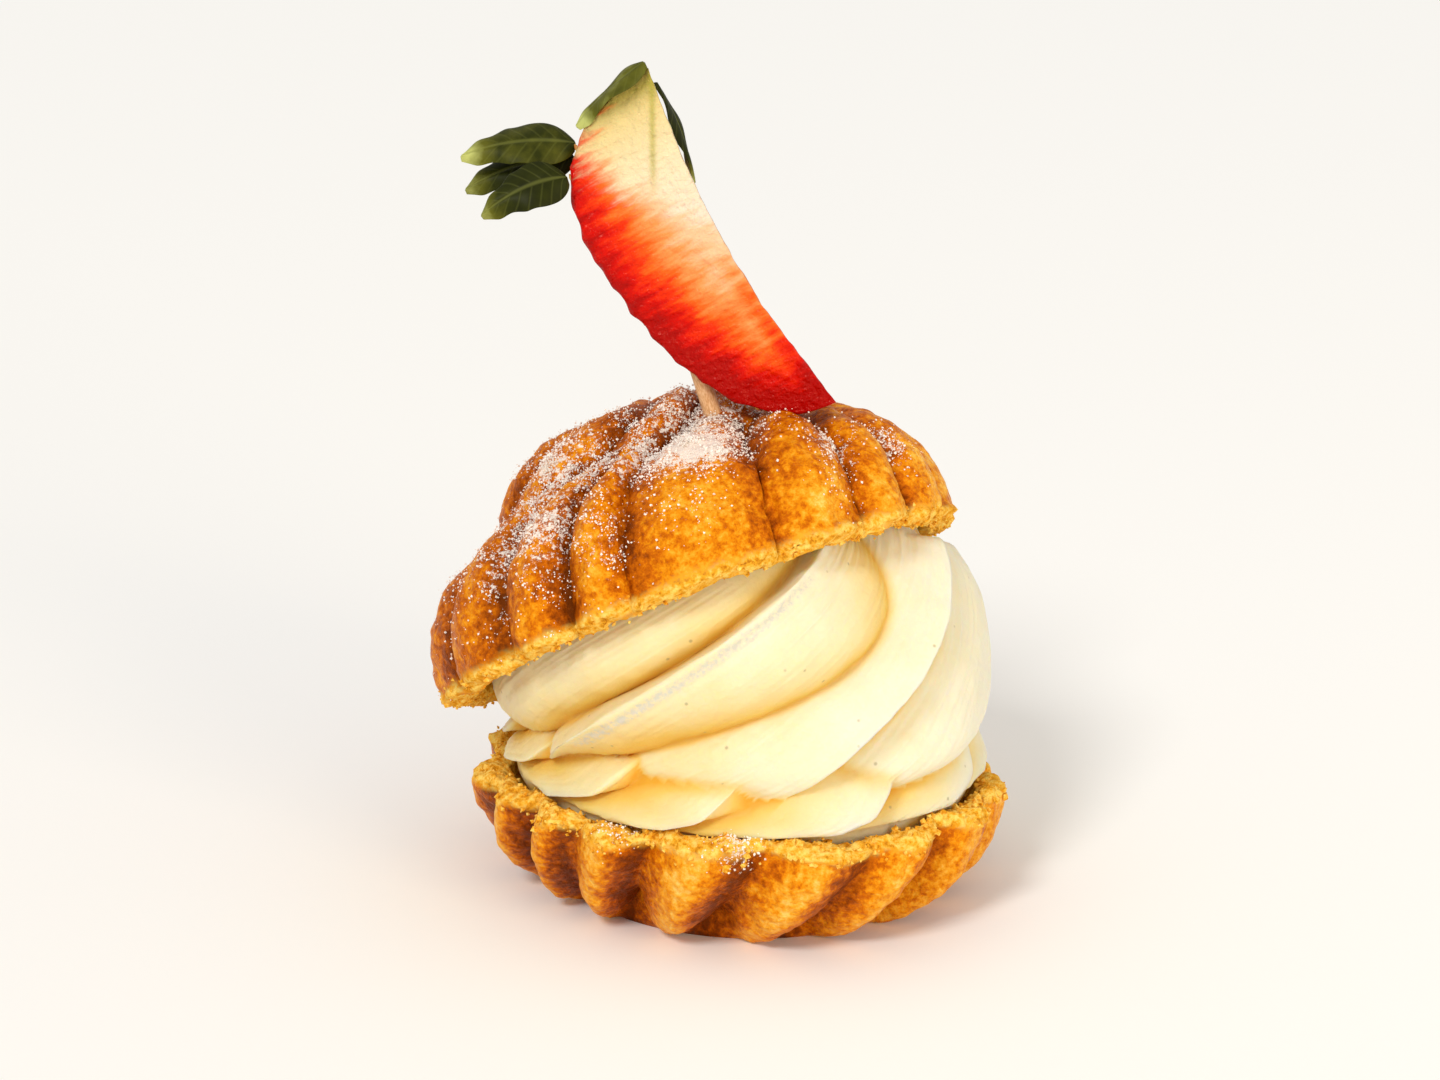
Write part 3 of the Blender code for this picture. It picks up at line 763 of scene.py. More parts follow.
def whipped_cream():
    """Whipped vanilla cream, piped: soft and satin, with light passing through its edges.

    Painted shade makes it a warmer yellow in the creases of its folds, along the seam above the
    lower ring and on its left side. It holds a few dark grains of vanilla. Where the left fold's
    crest has dried, it is broken up by small greyish specks.
    """
    made, tree, shader = new_material(
        "whipped_cream",
        IOR=1.44,
        Roughness=0.42,
        Specular_IOR_Level=0.2,
        Subsurface_Weight=0.5,
        Subsurface_Radius=(1.0, 0.62, 0.26),
        Subsurface_Scale=4.0 * MM,
    )
    where = put(tree, "TexCoord").outputs["Object"]
    depth, crest = (
        put(tree, "Attribute", attribute_name=name).outputs["Fac"] for name in ("fold", "crest")
    )
    noises = []
    for size, layers, rough in CREAM_NOISES:
        inputs = {"Vector": where, "Scale": per_metre(size), "Detail": layers, "Roughness": rough}
        noises.append(put(tree, "TexNoise", inputs).outputs["Fac"])
    cloud, grain, speck = noises
    # The fold mark is painted shade, laid over the clouds' own tone
    added = {0: cloud, 1: CLOUD_WEIGHT, 2: depth}
    deep = put(tree, "Math", added, operation="MULTIPLY_ADD").outputs[0]
    body = put(tree, "ValToRGB", {"Fac": deep}, stops=CREAM_AND_SHADE_COLOURS).outputs["Color"]

    cells = put(tree, "TexVoronoi", {"Vector": where, "Scale": per_metre(VANILLA_SPACING)})
    ranges = {"Value": cells.outputs["Distance"], "To Min": VANILLA_MOST, "To Max": 0.0}
    ranges |= {"From Min": VANILLA_REACH[0], "From Max": VANILLA_REACH[1]}
    near = put(tree, "MapRange", ranges).outputs["Result"]
    chosen = put(tree, "SeparateColor", {0: cells.outputs["Color"]}).outputs[0]
    rare = put(tree, "Math", {0: chosen, 1: VANILLA_RARITY}, operation="GREATER_THAN").outputs[0]
    vanilla = put(tree, "Math", {0: near, 1: rare}, operation="MULTIPLY").outputs[0]
    mixed = {FACTOR: vanilla, COLOUR_A: body, COLOUR_B: linear(VANILLA_COLOUR)}
    colour = put(tree, "Mix", mixed, data_type="RGBA").outputs[MIXED]

    added = {0: speck, 1: crest, 2: -DRY_START}
    dry = put(tree, "Math", added, operation="MULTIPLY_ADD").outputs[0]
    ranges = {"Value": dry, "From Max": DRY_RANGE, "To Max": DRY_MOST}
    dry = put(tree, "MapRange", ranges).outputs["Result"]
    mixed = {FACTOR: dry, COLOUR_A: colour, COLOUR_B: linear(DRY_CREAM_COLOUR)}
    colour = put(tree, "Mix", mixed, data_type="RGBA").outputs[MIXED]
    tree.links.new(colour, shader.inputs["Base Color"])
    whipped = put(tree, "Math", {0: cloud, 1: 4.0, 2: grain}, operation="MULTIPLY_ADD").outputs[0]
    bump = put(tree, "Bump", {"Height": whipped, "Distance": CREAM_BUMP * MM, "Strength": 0.8})
    tree.links.new(bump.outputs["Normal"], shader.inputs["Normal"])
    return made


def strawberry_flesh():
    """Cut strawberry: wet, red under the skin and towards the tip, pale at the core and stem.

    The depth under the skin, roughened by veins that run inwards, picks the colour. A pale
    zone at the stem end reaches farther down at the core, and a thin green thread runs in it.
    Juice stands on it in small uneven drops, which catch the light.
    """
    made, tree, shader = new_material(
        "strawberry_flesh",
        IOR=1.38,
        Roughness=0.14,
        Specular_IOR_Level=0.5,
        Specular_Tint=linear(JUICE_COLOUR),
        Subsurface_Weight=0.10,
        Subsurface_Radius=(1.0, 0.30, 0.12),
        Subsurface_Scale=1.0 * MM,
    )
    along, inward, turn, thread, core = (
        put(tree, "Attribute", attribute_name=name).outputs["Fac"]
        for name in ("along", "inward", "round", "thread", "core")
    )
    at = put(tree, "CombineXYZ", {"X": along, "Y": inward, "Z": turn}).outputs[0]
    stretch = {"Vector": at, "Scale": VEIN_STRETCH, "Rotation": (0.0, 0.0, VEIN_SLANT)}
    stretched = put(tree, "Mapping", stretch).outputs[0]
    layered = {"Vector": stretched, "Scale": 1.0, "Detail": 5.0, "Roughness": 0.62}
    veins = put(tree, "TexNoise", layered).outputs["Fac"]
    uneven = put(tree, "Math", {0: veins, 1: -0.5}, operation="ADD").outputs[0]

    ranges = {"Value": along, "From Min": RIPE_FROM, "To Min": RIPENESS[0], "To Max": RIPENESS[1]}
    riper = put(tree, "MapRange", ranges).outputs["Result"]
    deep = inward
    for part, weight in zip((uneven, riper, core), FLESH_WEIGHTS):
        added = {0: part, 1: weight, 2: deep}
        deep = put(tree, "Math", added, operation="MULTIPLY_ADD").outputs[0]
    scaled = put(tree, "Math", {0: deep, 1: 1 / FLESH_DEPTH}, operation="MULTIPLY").outputs[0]
    flesh = put(tree, "ValToRGB", {"Fac": scaled}, stops=FLESH_COLOURS).outputs["Color"]

    boundary = along
    for part, weight in zip((inward, uneven), BOUNDARY_WEIGHTS):
        added = {0: part, 1: weight, 2: boundary}
        boundary = put(tree, "Math", added, operation="MULTIPLY_ADD").outputs[0]
    ranges = {"Value": boundary, "From Min": BOUNDARY_RANGE[0], "From Max": BOUNDARY_RANGE[1]}
    ripe = put(tree, "MapRange", ranges, interpolation_type="SMOOTHSTEP").outputs["Result"]
    pale = put(tree, "ValToRGB", {"Fac": along}, stops=PALE_FLESH_COLOURS).outputs["Color"]
    mixed = {FACTOR: ripe, COLOUR_A: pale, COLOUR_B: flesh}
    colour = put(tree, "Mix", mixed, data_type="RGBA").outputs[MIXED]
    mixed = {FACTOR: thread, COLOUR_A: colour, COLOUR_B: linear(THREAD_COLOUR)}
    colour = put(tree, "Mix", mixed, data_type="RGBA").outputs[MIXED]
    tree.links.new(colour, shader.inputs["Base Color"])

    where = put(tree, "TexCoord").outputs["Object"]
    drops = {"Vector": where, "Scale": per_metre(JUICE_SIZE), "Detail": 3.0}
    juice = put(tree, "TexNoise", drops).outputs["Fac"]
    relief = put(tree, "Math", {0: juice, 1: 2.0, 2: veins}, operation="MULTIPLY_ADD").outputs[0]
    bump = put(tree, "Bump", {"Height": relief, "Distance": FLESH_BUMP * MM, "Strength": 0.8})
    tree.links.new(bump.outputs["Normal"], shader.inputs["Normal"])
    return made


def strawberry_seed():
    """Strawberry seeds: small, hard, straw-yellow and slightly glossy."""
    made, tree, shader = new_material("strawberry_seed", Roughness=0.35, IOR=1.45)
    where = put(tree, "TexCoord").outputs["Object"]
    patch = put(tree, "TexNoise", {"Vector": where, "Scale": per_metre(SEED_PATCH)}).outputs["Fac"]
    colour = put(tree, "ValToRGB", {"Fac": patch}, stops=SEED_COLOURS).outputs["Color"]
    tree.links.new(colour, shader.inputs["Base Color"])
    return made


def strawberry_leaf():
    """Fresh strawberry sepal: satin green, with a paler midrib, side veins and a light tip."""
    made, tree, shader = new_material(
        "strawberry_leaf", IOR=1.42, Roughness=0.45, Specular_IOR_Level=0.12
    )
    along, across, light = (
        put(tree, "Attribute", attribute_name=name).outputs["Fac"]
        for name in ("along", "across", "light")
    )
    where = put(tree, "TexCoord").outputs["Object"]
    patches = {"Vector": where, "Scale": per_metre(LEAF_PATCH), "Detail": 4.0}
    patch = put(tree, "TexNoise", patches).outputs["Fac"]
    added = {0: patch, 1: LEAF_PATCH_WEIGHT, 2: light}
    tone = put(tree, "Math", added, operation="MULTIPLY_ADD").outputs[0]
    blade = put(tree, "ValToRGB", {"Fac": tone}, stops=LEAF_COLOURS).outputs["Color"]

    off_rib = put(tree, "Math", {0: across}, operation="ABSOLUTE").outputs[0]
    slanted = {0: off_rib, 1: LEAF_VEIN_SLANT, 2: along}
    chevron = put(tree, "Math", slanted, operation="MULTIPLY_ADD").outputs[0]
    waves = put(tree, "Math", {0: chevron, 1: TAU * LEAF_SIDE_VEINS}, operation="MULTIPLY").outputs[0]
    side = put(tree, "Math", {0: waves}, operation="SINE").outputs[0]
    start, full, strength = LEAF_SIDE_VEIN
    ranges = {"Value": side, "From Min": start, "From Max": full, "To Max": strength}
    side_vein = put(tree, "MapRange", ranges).outputs["Result"]
    full, end, strength = LEAF_MIDRIB
    ranges = {"Value": off_rib, "From Min": full, "From Max": end, "To Min": strength, "To Max": 0.0}
    rib = put(tree, "MapRange", ranges).outputs["Result"]
    vein = put(tree, "Math", {0: rib, 1: side_vein}, operation="MAXIMUM").outputs[0]
    mixed = {FACTOR: vein, COLOUR_A: blade, COLOUR_B: linear(LEAF_VEIN_COLOUR)}
    colour = put(tree, "Mix", mixed, data_type="RGBA").outputs[MIXED]
    tree.links.new(colour, shader.inputs["Base Color"])
    bump = put(tree, "Bump", {"Height": vein, "Distance": LEAF_BUMP * MM, "Strength": 0.8}, invert=True)
    tree.links.new(bump.outputs["Normal"], shader.inputs["Normal"])
    return made


def birch_wood():
    """Birch, split and turned into a round pick: pale tan, with fine fibres along it."""
    made, tree, shader = new_material("birch_wood", IOR=1.5, Roughness=0.6)
    turn_x, turn_y, length = (
        put(tree, "Attribute", attribute_name=name).outputs["Fac"]
        for name in ("turn_x", "turn_y", "along")
    )
    at = put(tree, "CombineXYZ", {"X": turn_x, "Y": turn_y, "Z": length}).outputs[0]
    fibres = put(tree, "Mapping", {"Vector": at, "Scale": FIBRE_STRETCH}).outputs[0]
    grain = put(tree, "TexNoise", {"Vector": fibres, "Scale": 1.6, "Detail": 5.0}).outputs["Fac"]
    colour = put(tree, "ValToRGB", {"Fac": grain}, stops=BIRCH_COLOURS).outputs["Color"]
    tree.links.new(colour, shader.inputs["Base Color"])
    bump = put(tree, "Bump", {"Height": grain, "Distance": BIRCH_BUMP * MM, "Strength": 0.7})
    tree.links.new(bump.outputs["Normal"], shader.inputs["Normal"])
    return made


def icing_sugar():
    """Icing sugar: matt white clumps, faintly warm where the crust shows through them."""
    made, tree, shader = new_material("icing_sugar", Roughness=0.9, IOR=1.5, Specular_IOR_Level=0.2)
    where = put(tree, "TexCoord").outputs["Object"]
    patch = put(tree, "TexNoise", {"Vector": where, "Scale": per_metre(SUGAR_PATCH)}).outputs["Fac"]
    colour = put(tree, "ValToRGB", {"Fac": patch}, stops=SUGAR_COLOURS).outputs["Color"]
    tree.links.new(colour, shader.inputs["Base Color"])
    return made


def pale_board():
    """A matt painted board for the floor: near white, so that shadows stay soft."""
    made, _, shader = new_material("pale_board", Roughness=1.0, Specular_IOR_Level=0.0)
    shader.inputs["Base Color"].default_value = linear(BOARD_COLOUR)
    return made


# ---------------------------------------------------------------- the crust of both halves


def banded(columns, *bands):
    """Values for a grid whose rows come in bands, each (number of rows, values)."""
    return np.concatenate([np.broadcast_to(values, (rows, columns)) for rows, values in bands])


def cut_face(first, last, bulge):
    """The torn wall between two edges: straight across, and a sine's arch up in the middle."""
    share = np.linspace(0, 1, CUT_ROWS)[1:-1, None, None]
    return first + (last - first) * share + np.array([0, 0, bulge]) * np.sin(math.pi * share)


def ragged(grid, edge, size):
    """An edge that grows from 0 to 1, broken up into crumbs of a size by noise."""
    broken = RAGGED_NOISE * noise(grid, size, RAGGED_SEED)
    return edge * ease(*RAGGED_RANGE, edge - RAGGED_MIDDLE + broken)


def crust_relief(grid, crumb, baked, torn, pits):
    """Lumps on the baked skin, and larger lumps less some pits on the torn crumb."""
    size, depth, seed = pits
    torn_height = lumps(grid, torn) - depth * ease(*PIT_RANGE, noise(grid, size, seed))
    return lumps(grid, baked) * (1 - crumb) + torn_height * crumb


# ---------------------------------------------------------------- the cup


def base_rim(theta):
    """The cut's height: it dips where the cap hinges and at the back right."""
    dips = sum(depth * hump(theta, heading, width) for heading, width, depth in RIM_DIPS)
    waves = sum(height * np.sin(count * theta + phase) for count, phase, height in RIM_WAVES)
    return BASE_HEIGHT - dips + waves


def base_outside(place, share):
    """A quarter round from foot to rim, with grooves cut square to its slope.

    A groove's depth is 0 on a ridge and 1 in the groove, times its own mean depth, and times
    a share that grows from the foot and then falls off towards the rim.
    """
    angle = share * math.pi / 2
    radius = FOOT_RADIUS + (BASE_RADIUS - FOOT_RADIUS) * np.sin(angle)
    height = (1 - np.cos(angle)) ** BASE_STEEPNESS
    slope_r, slope_z = np.gradient(radius[:, 0]), np.gradient(height[:, 0] * BASE_HEIGHT)
    size = -np.hypot(slope_r, slope_z)  # below zero, as the rows run down
    depth = BASE_GROOVE * (1 + UNEVENNESS * np.sin(UNEVEN_STEP * np.round(place)))
    along = np.clip(share / BASE_GROOVE_START, 0, 1)
    along = along * (BASE_GROOVE_AT_FOOT - BASE_GROOVE_LOSS * share)
    cut = depth * along * groove_between(place, BASE_ROUNDNESS)
    theta = heading_at(place, BASE_GROOVES) + BASE_TWIST * share
    dent_heading, dent_width, dent_depth = SIDE_DENT
    dent = dent_depth * share * hump(theta, dent_heading, dent_width)
    radius = radius - cut * (slope_z / size)[:, None] - dent
    height = height * base_rim(theta) + cut * (slope_r / size)[:, None]
    return around(radius, theta, height)


def base_inside(theta, angle):
    """The hollow: a bowl that is steep at the rim and flat on its floor."""
    rim = base_rim(theta)
    radius = (BASE_RADIUS - CRUST_WALL) * np.cos(angle) ** BASE_HOLLOW_SIDE
    height = rim - (rim - BASE_FLOOR) * np.sin(angle) ** HOLLOW_FLATNESS
    return around(radius, theta, height)


def make_cup(crust):
    """The cup: up its hollow, across the torn rim and down its ridged outside.

    Painted shade darkens one side of each ridge, and the foot is browner.
    """
    place = places(BASE_GROOVES, BASE_STEPS)
    share = np.linspace(1.0, 0.0, BASE_ROWS)[:, None]
    outside = base_outside(place, share)
    angle = np.radians(np.linspace(HOLLOW_END, 0, HOLLOW_ROWS))[:, None]
    inside = base_inside(heading_at(place, BASE_GROOVES) + BASE_TWIST, angle)
    rim = cut_face(inside[-1], outside[0], BASE_BULGE)
    grid = np.concatenate([inside, rim, outside])
    outer, inner = len(outside), len(inside) + len(rim)

    edge = banded(place.size, (inner, 1.0), (outer, ease(*CUP_EDGE, share)))
    crumb = ragged(grid, edge, CUP_RAGGED)
    crumb[:inner] = 1
    calm = banded(place.size, (inner, 1.0), (outer, ease(*CUP_CALM, share)))
    grid = raised(grid, crust_relief(grid, crumb, CUP_BAKED, CUP_TORN, CUP_PITS) * calm)
    grid[..., 2] = np.maximum(grid[..., 2], 0.0)

    # Painted shade on one side of each ridge
    flank = ease(*FLANK_RISE, place % 1) * ease(*FLANK_FALL, place % 1)
    flank = banded(place.size, (inner, 0.0), (outer, flank))
    low = banded(place.size, (inner, 0.0), (outer, 1 - share))
    marks = {
        "groove": banded(place.size, (inner, 0.0), (outer, groove_between(place, BASE_ROUNDNESS))),
        "bake_and_shade": CUP_BROWNING + FLANK_SHADE * flank + FOOT_BROWNING * low,
        "crumb": crumb,
        "dust": fall_of(grid, RIM_SUGAR_FALLS),
    }
    poles = ((0, 0, BASE_FLOOR), (0, 0, 0))
    skin("bun_cup", grid, poles, crust, "choux_base", marks)
    return grid


# ---------------------------------------------------------------- the cap


def lid_axes():
    """The lid's own right, back and up, as the rows of a matrix."""
    return np.stack([unit(LID_RIGHT), unit(np.cross(LID_UP, LID_RIGHT)), unit(LID_UP)])


def lid_to_world(points):
    """Points in the lid's own axes, with its cut face's centre at 0, as places on the part."""
    return LID_CENTRE + points @ lid_axes()


def lid_outside(place, elevation):
    """The farther of a broad ridged shoulder and a narrow cap with half as many ridges.

    The ridges rise nearly straight up the shoulder, then curl round on the cap. With the
    points come how deep in a groove each lies, and how near it is to the step under the cap.
    """
    share = elevation / (math.pi / 2)
    curl = soft_max(share - LID_TURN, 0, LID_TURN_SOFTNESS)
    theta = heading_at(place, LID_GROOVES) + LID_LEAN * share + LID_SPIRAL * curl
    dip_heading, dip_width, dip = SHOULDER_DIP
    height = SHOULDER_HEIGHT * (1 - dip * hump(theta, dip_heading, dip_width))
    narrow = groove_between(place, LID_ROUNDNESS)
    wide = groove_between(place / 2, LID_ROUNDNESS)
    uneven = 1 + UNEVENNESS * np.sin(UNEVEN_STEP * np.floor(place))
    depth = LID_GROOVE * uneven * (LID_GROOVE_AT_EDGE + LID_GROOVE_GAIN * np.sin(elevation))
    shoulder = dome_reach(elevation, LID_RADIUS, height, SHOULDER_POWER) - depth * narrow
    cap = dome_reach(elevation, CAP_RADIUS, CAP_HEIGHT, CAP_POWER)
    cap = cap - CAP_GROOVE * wide * np.cos(elevation) ** CAP_GROOVE_FADE
    reach = soft_max(shoulder, cap, STEP_SOFTNESS)
    upper = ease(-STEP_BLEND, STEP_BLEND, cap - shoulder)
    groove = narrow * (1 - upper) + wide * upper
    step = np.exp(-(((cap - shoulder) / STEP_WIDTH) ** 2)) * np.cos(elevation)
    return around(reach * np.cos(elevation), theta, reach * np.sin(elevation)), groove, step


def lid_inside(theta, angle):
    """The hollow: a shallow dome over the cream."""
    radius = (LID_RADIUS - CRUST_WALL) * np.cos(angle) ** LID_HOLLOW_SIDE
    return around(radius, theta, LID_CAVITY * np.sin(angle) ** HOLLOW_FLATNESS)


def make_cap(crust):
    """The cap: down its ridged outside, across the torn rim and up its hollow.

    Painted shade darkens it on the left and at the step, and it is browner on the crown. Icing
    sugar lies where it fell, and most where the surface faces up. Gives the grid, its normals,
    the sugar and the crumb.
    """
    place = places(LID_GROOVES, LID_STEPS)
    elevation = np.radians(np.linspace(LID_TOP_ROW, 0, LID_ROWS))[:, None]
    outside, groove, step = lid_outside(place, elevation)
    angle = np.radians(np.linspace(0, HOLLOW_END, HOLLOW_ROWS))[:, None]
    inside = lid_inside(heading_at(place, LID_GROOVES), angle)
    rim = cut_face(outside[-1], inside[0], LID_BULGE)
    grid = lid_to_world(np.concatenate([outside, rim, inside]))
    outer, inner = len(outside), len(rim) + len(inside)

    edge = banded(place.size, (outer, ease(*CAP_EDGE, elevation)), (inner, 1.0))
    crumb = ragged(grid, edge, CAP_RAGGED)
    calm = banded(place.size, (outer, ease(*CAP_CALM, elevation)), (inner, 1.0))
    grid = raised(grid, crust_relief(grid, crumb, CAP_BAKED, CAP_TORN, CAP_PITS) * calm)

    normals = skin_normals(grid)
    left = ease(*LEFT_SIDE, grid[..., 0])
    lit = SUGAR_ON_SIDES + (1 - SUGAR_ON_SIDES) * ease(*SUGAR_LIT, normals[..., 2])
    dust = (fall_of(grid, SUGAR_FALLS) + SUGAR_LEFT * left) * lit
    dust[outer:] = 0
    step = banded(place.size, (outer, step), (inner, 0.0))
    crown = ease(*CROWN, grid[..., 2])
    # Painted shade on the left and at the step, over browning of the whole and of the crown
    bake_and_shade = CAP_BROWNING + LEFT_CRUST_SHADE * left + STEP_SHADE * step + CROWN_BROWNING * crown
    groove = banded(place.size, (outer, groove), (inner, 0.0))
    poles = lid_to_world(np.array([[0, 0, CAP_HEIGHT - CAP_SINK], [0, 0, LID_CAVITY]]))
    marks = {"groove": groove, "bake_and_shade": bake_and_shade, "crumb": crumb, "dust": dust}
    skin("bun_cap", grid, poles, crust, "choux_lid", marks)
    return grid, normals, dust, crumb


# ---------------------------------------------------------------- sugar and crumbs


def strew(grid, weights, count, seed, spread, smallest, added, power):
    """Grains on points of a grid drawn by weight: centres moved a little, sizes and points."""
    draw = np.random.default_rng(seed)
    chosen = draw.choice(weights.size, count, p=weights.ravel() / weights.sum())
    centres = grid.reshape(-1, 3)[chosen] + draw.normal(0, spread, (count, 3))
    return centres, smallest + added * draw.random(count) ** power, chosen


def make_sugar(cap, cup, sugar):
    """Icing sugar in clumps on the cap, and a little of it on the cup's rim."""
    grid, normals, dust, _ = cap
    clumped = ease(*SUGAR_CLUMP_RANGE, noise(grid, *SUGAR_CLUMPS)) + SUGAR_BETWEEN
    weights = np.clip(dust, 0, SUGAR_MOST) ** SUGAR_POWER * clumped * point_areas(grid)
    on_cap, cap_sizes, chosen = strew(grid, weights, *CAP_SUGAR)
    on_cap = on_cap + normals.reshape(-1, 3)[chosen] * SUGAR_LIFT
    fallen = fall_of(cup, RIM_SUGAR_FALLS)
    fallen[np.abs(cup[..., 2] - BASE_HEIGHT) > RIM_SUGAR_REACH] = 0
    on_rim, rim_sizes, _ = strew(cup, fallen**2, *RIM_SUGAR)
    centres = np.concatenate([on_cap, on_rim + [0, 0, RIM_SUGAR_LIFT]])
    grains("sugar_grains", centres, np.concatenate([cap_sizes, rim_sizes]), SUGAR_SEED, sugar)


def make_crumbs(cap, cup, crust):
    """Loose crumbs along the two cut edges."""
    grid, _, _, crumb = cap
    edge = crumb * (np.linalg.norm(grid - LID_CENTRE, axis=-1) > LID_RADIUS - CAP_CRUMB_BAND)
    on_cap, cap_sizes, _ = strew(grid, edge, *CAP_CRUMBS)
    outer = np.hypot(cup[..., 0], cup[..., 1]) > BASE_RADIUS - RIM_CRUMB_BAND
    rim = outer * (cup[..., 2] > BASE_HEIGHT - RIM_CRUMB_DROP)
    on_rim, rim_sizes, _ = strew(cup, rim.astype(float), *RIM_CRUMBS)
    centres, sizes = np.concatenate([on_cap, on_rim]), np.concatenate([cap_sizes, rim_sizes])
    crumbs = grains("crust_crumbs", centres, sizes, CRUMB_SEED, crust)
    add_mark(crumbs, "crumb", np.ones(len(crumbs.data.vertices)))


# ---------------------------------------------------------------- the cream


def room_in_cavity(radial, depth, cavity, flare):
    """True inside one half's cavity, or within a cone that opens outwards above its rim."""
    inner = BASE_RADIUS - CRUST_WALL - 2 * GAP
    share = np.clip(depth / (cavity - GAP), 0, 1)
    limit = np.where(depth > 0, inner * np.sqrt(1 - share**CAVITY_POWER), inner - flare * depth)
    return radial < limit


def room_in_bun(points):
    """True where cream may be: clear of the cup and of the cap."""
    radial = np.hypot(points[..., 0], points[..., 1])
    rim = BASE_HEIGHT + CUP_CLEARANCE
    clear_of_base = room_in_cavity(radial, rim - points[..., 2], rim - BASE_FLOOR, CUP_FLARE)
    local = (points - LID_CENTRE) @ lid_axes().T
    radial = np.hypot(local[..., 0], local[..., 1])
    depth, cavity = local[..., 2] + LID_CLEARANCE, LID_CAVITY + LID_CLEARANCE
    clear_of_lid = room_in_cavity(radial, depth, cavity, LID_FLARE)
    return clear_of_base & clear_of_lid


def farthest(directions, inside, limit=60.0):
    """How far one can go from the cream's centre each way and stay inside, by halving."""
    near = np.zeros(directions.shape[:-1])
    far = near + limit
    for _ in range(HALVINGS):
        middle = (near + far) / 2
        good = inside(CREAM_CENTRE + directions * middle[..., None])
        near, far = np.where(good, middle, near), np.where(good, far, middle)
    return near


def fold(place, valley):
    """0 on the crest at each whole place, and 1 in the crease at a share of the way.

    A power of the place puts the crease halfway. From there the depth falls off by a root of
    the distance, so each face is convex: it rises steeply from the crease, then slowly.
    """
    warped = (place % 1) ** (math.log(0.5) / np.log(valley))
    return 1 - ((2 * warped - 1) ** 2 + CREASE_WIDTH) ** (FOLD_ROUNDNESS / 2)


def swirl_reach(elevation, place):
    """The upper swirl: a dome cut by the creases between its folds.

    With its reach comes its shade: 1 in a crease, less up to the crest before it, and little
    on the side behind it.
    """
    folds = np.array(CREAM_FOLDS)
    at = np.floor(place).astype(int)
    height = np.where(elevation > 0, CREAM_RISE, CREAM_DROP)
    power = np.where(elevation > 0, CREAM_RISE_POWER, CREAM_DROP_POWER)
    dome = dome_reach(elevation, CREAM_RADIUS, height, power)
    spread_place, spread_elevation = FOLD_END_SPREAD
    end = ((place - FOLD_END_PLACE) / spread_place) ** 2
    end = end + ((elevation - FOLD_END) / spread_elevation) ** 2
    dome = dome + FOLD_END_SWELL * np.exp(-end)
    widest = np.exp(-(((elevation - FOLD_WIDEST) / FOLD_SPREAD) ** 2))
    valley = folds[at, 1] + (folds[at, 2] - folds[at, 1]) * widest
    depth = fold(place, valley)
    beyond = ease(*CREASE_EDGE, place % 1 - valley)
    return dome - folds[at, 3] * depth * np.cos(elevation), depth * (1 - CREASE_LIT * beyond)


def ring_reach(directions, elevation, heading):
    """The lower ring: a flat barrel with small folds that fade out at its foot.

    Inside it, (outward / size)^power + (up or down / rise)^power is less than 1. With its
    reach comes how deep in a crease each point lies.
    """
    crests = np.radians([*RING_CRESTS, RING_CRESTS[0] + 360, RING_CRESTS[1] + 360])
    place = np.interp(heading, crests, np.arange(len(crests)))
    full = np.clip((elevation - RING_FOOT) / (RING_FULL - RING_FOOT), 0, 1)
    depth = fold(place, RING_VALLEY) * full
    swell_heading, swell_width, growth = RING_SWELL
    swell = growth * hump(heading, swell_heading, swell_width)
    size = RING_RADIUS + swell - RING_DEPTH * depth

    def inside(points):
        height = np.abs(points[..., 2] - RING_CENTRE_Z) / (RING_RISE + swell)
        outward = np.hypot(points[..., 0], points[..., 1]) / size
        return height**RING_POWER + outward**RING_POWER < 1

    return farthest(directions, inside), depth


def along_crest(place, elevation, shift, width, start, end):
    """1 along the left fold's crest, falling off to both sides and towards both its ends."""
    apart = (place + 0.5) % len(CREAM_FOLDS) - 0.5 - shift
    degrees = np.degrees(elevation)
    return np.exp(-((apart / width) ** 2)) * ease(*start, degrees) * ease(*end, degrees)


def cream_grid():
    """The farther of the swirl and the ring each way, and no farther than the bun has room.

    A thin lip stands on the left fold's crest, streaks run along the folds, and lumps lie on
    the whole. With the grid come its painted shade, in the creases, along the seam between swirl
    and ring and on the left, and how dry it is.
    """
    place = places(CREAM_FOLDS, FOLD_STEPS)
    rise = np.linspace(1, -1, CREAM_ROWS)[1:-1, None]
    elevation = CREAM_EVENNESS * rise + (1 - CREAM_EVENNESS) * rise**3
    elevation = elevation * math.pi / 2
    heading = heading_at(place, np.radians([crest[0] for crest in CREAM_FOLDS]))
    above = elevation - FOLD_START
    lean = FOLD_LEAN * np.clip(above, 0, FOLD_LEAN_END)
    lean = lean + RING_LEAN * np.clip(above, -RING_LEAN_END, 0)
    directions = around(np.cos(elevation), heading + lean, np.sin(elevation))
    upper, upper_depth = swirl_reach(elevation, place)
    lower, lower_depth = ring_reach(directions, elevation, heading)
    reach = soft_max(upper, lower, RING_SOFTNESS)
    streaks_round, streaks_down, seed = STREAKS
    streaks = np.stack(np.broadcast_arrays(place * streaks_round, elevation * streaks_down, 0.0), -1)
    reach = reach + STREAK_HEIGHT * noise(streaks, 1.0, seed)
    reach = reach + CREST_LIP_HEIGHT * along_crest(place, elevation, *CREST_LIP)
    reach = np.minimum(reach, farthest(directions, room_in_bun))
    grid = CREAM_CENTRE + directions * reach[..., None]
    grid = raised(grid, lumps(grid, CREAM_LUMPS))
    seam = np.exp(-(((upper - lower) / RING_SEAM_WIDTH) ** 2))
    depth = np.where(upper > lower, upper_depth, lower_depth)
    # Painted shade: in the creases, along the seam between swirl and ring, and on the left
    shade = CREASE_SHADE * depth + RING_SEAM_SHADE * seam
    shade = shade + LEFT_SHADE * ease(*SHADED_SIDE, grid[..., 0])
    return grid, {"fold": np.clip(shade, 0, 1), "crest": along_crest(place, elevation, *CREST_DRY)}


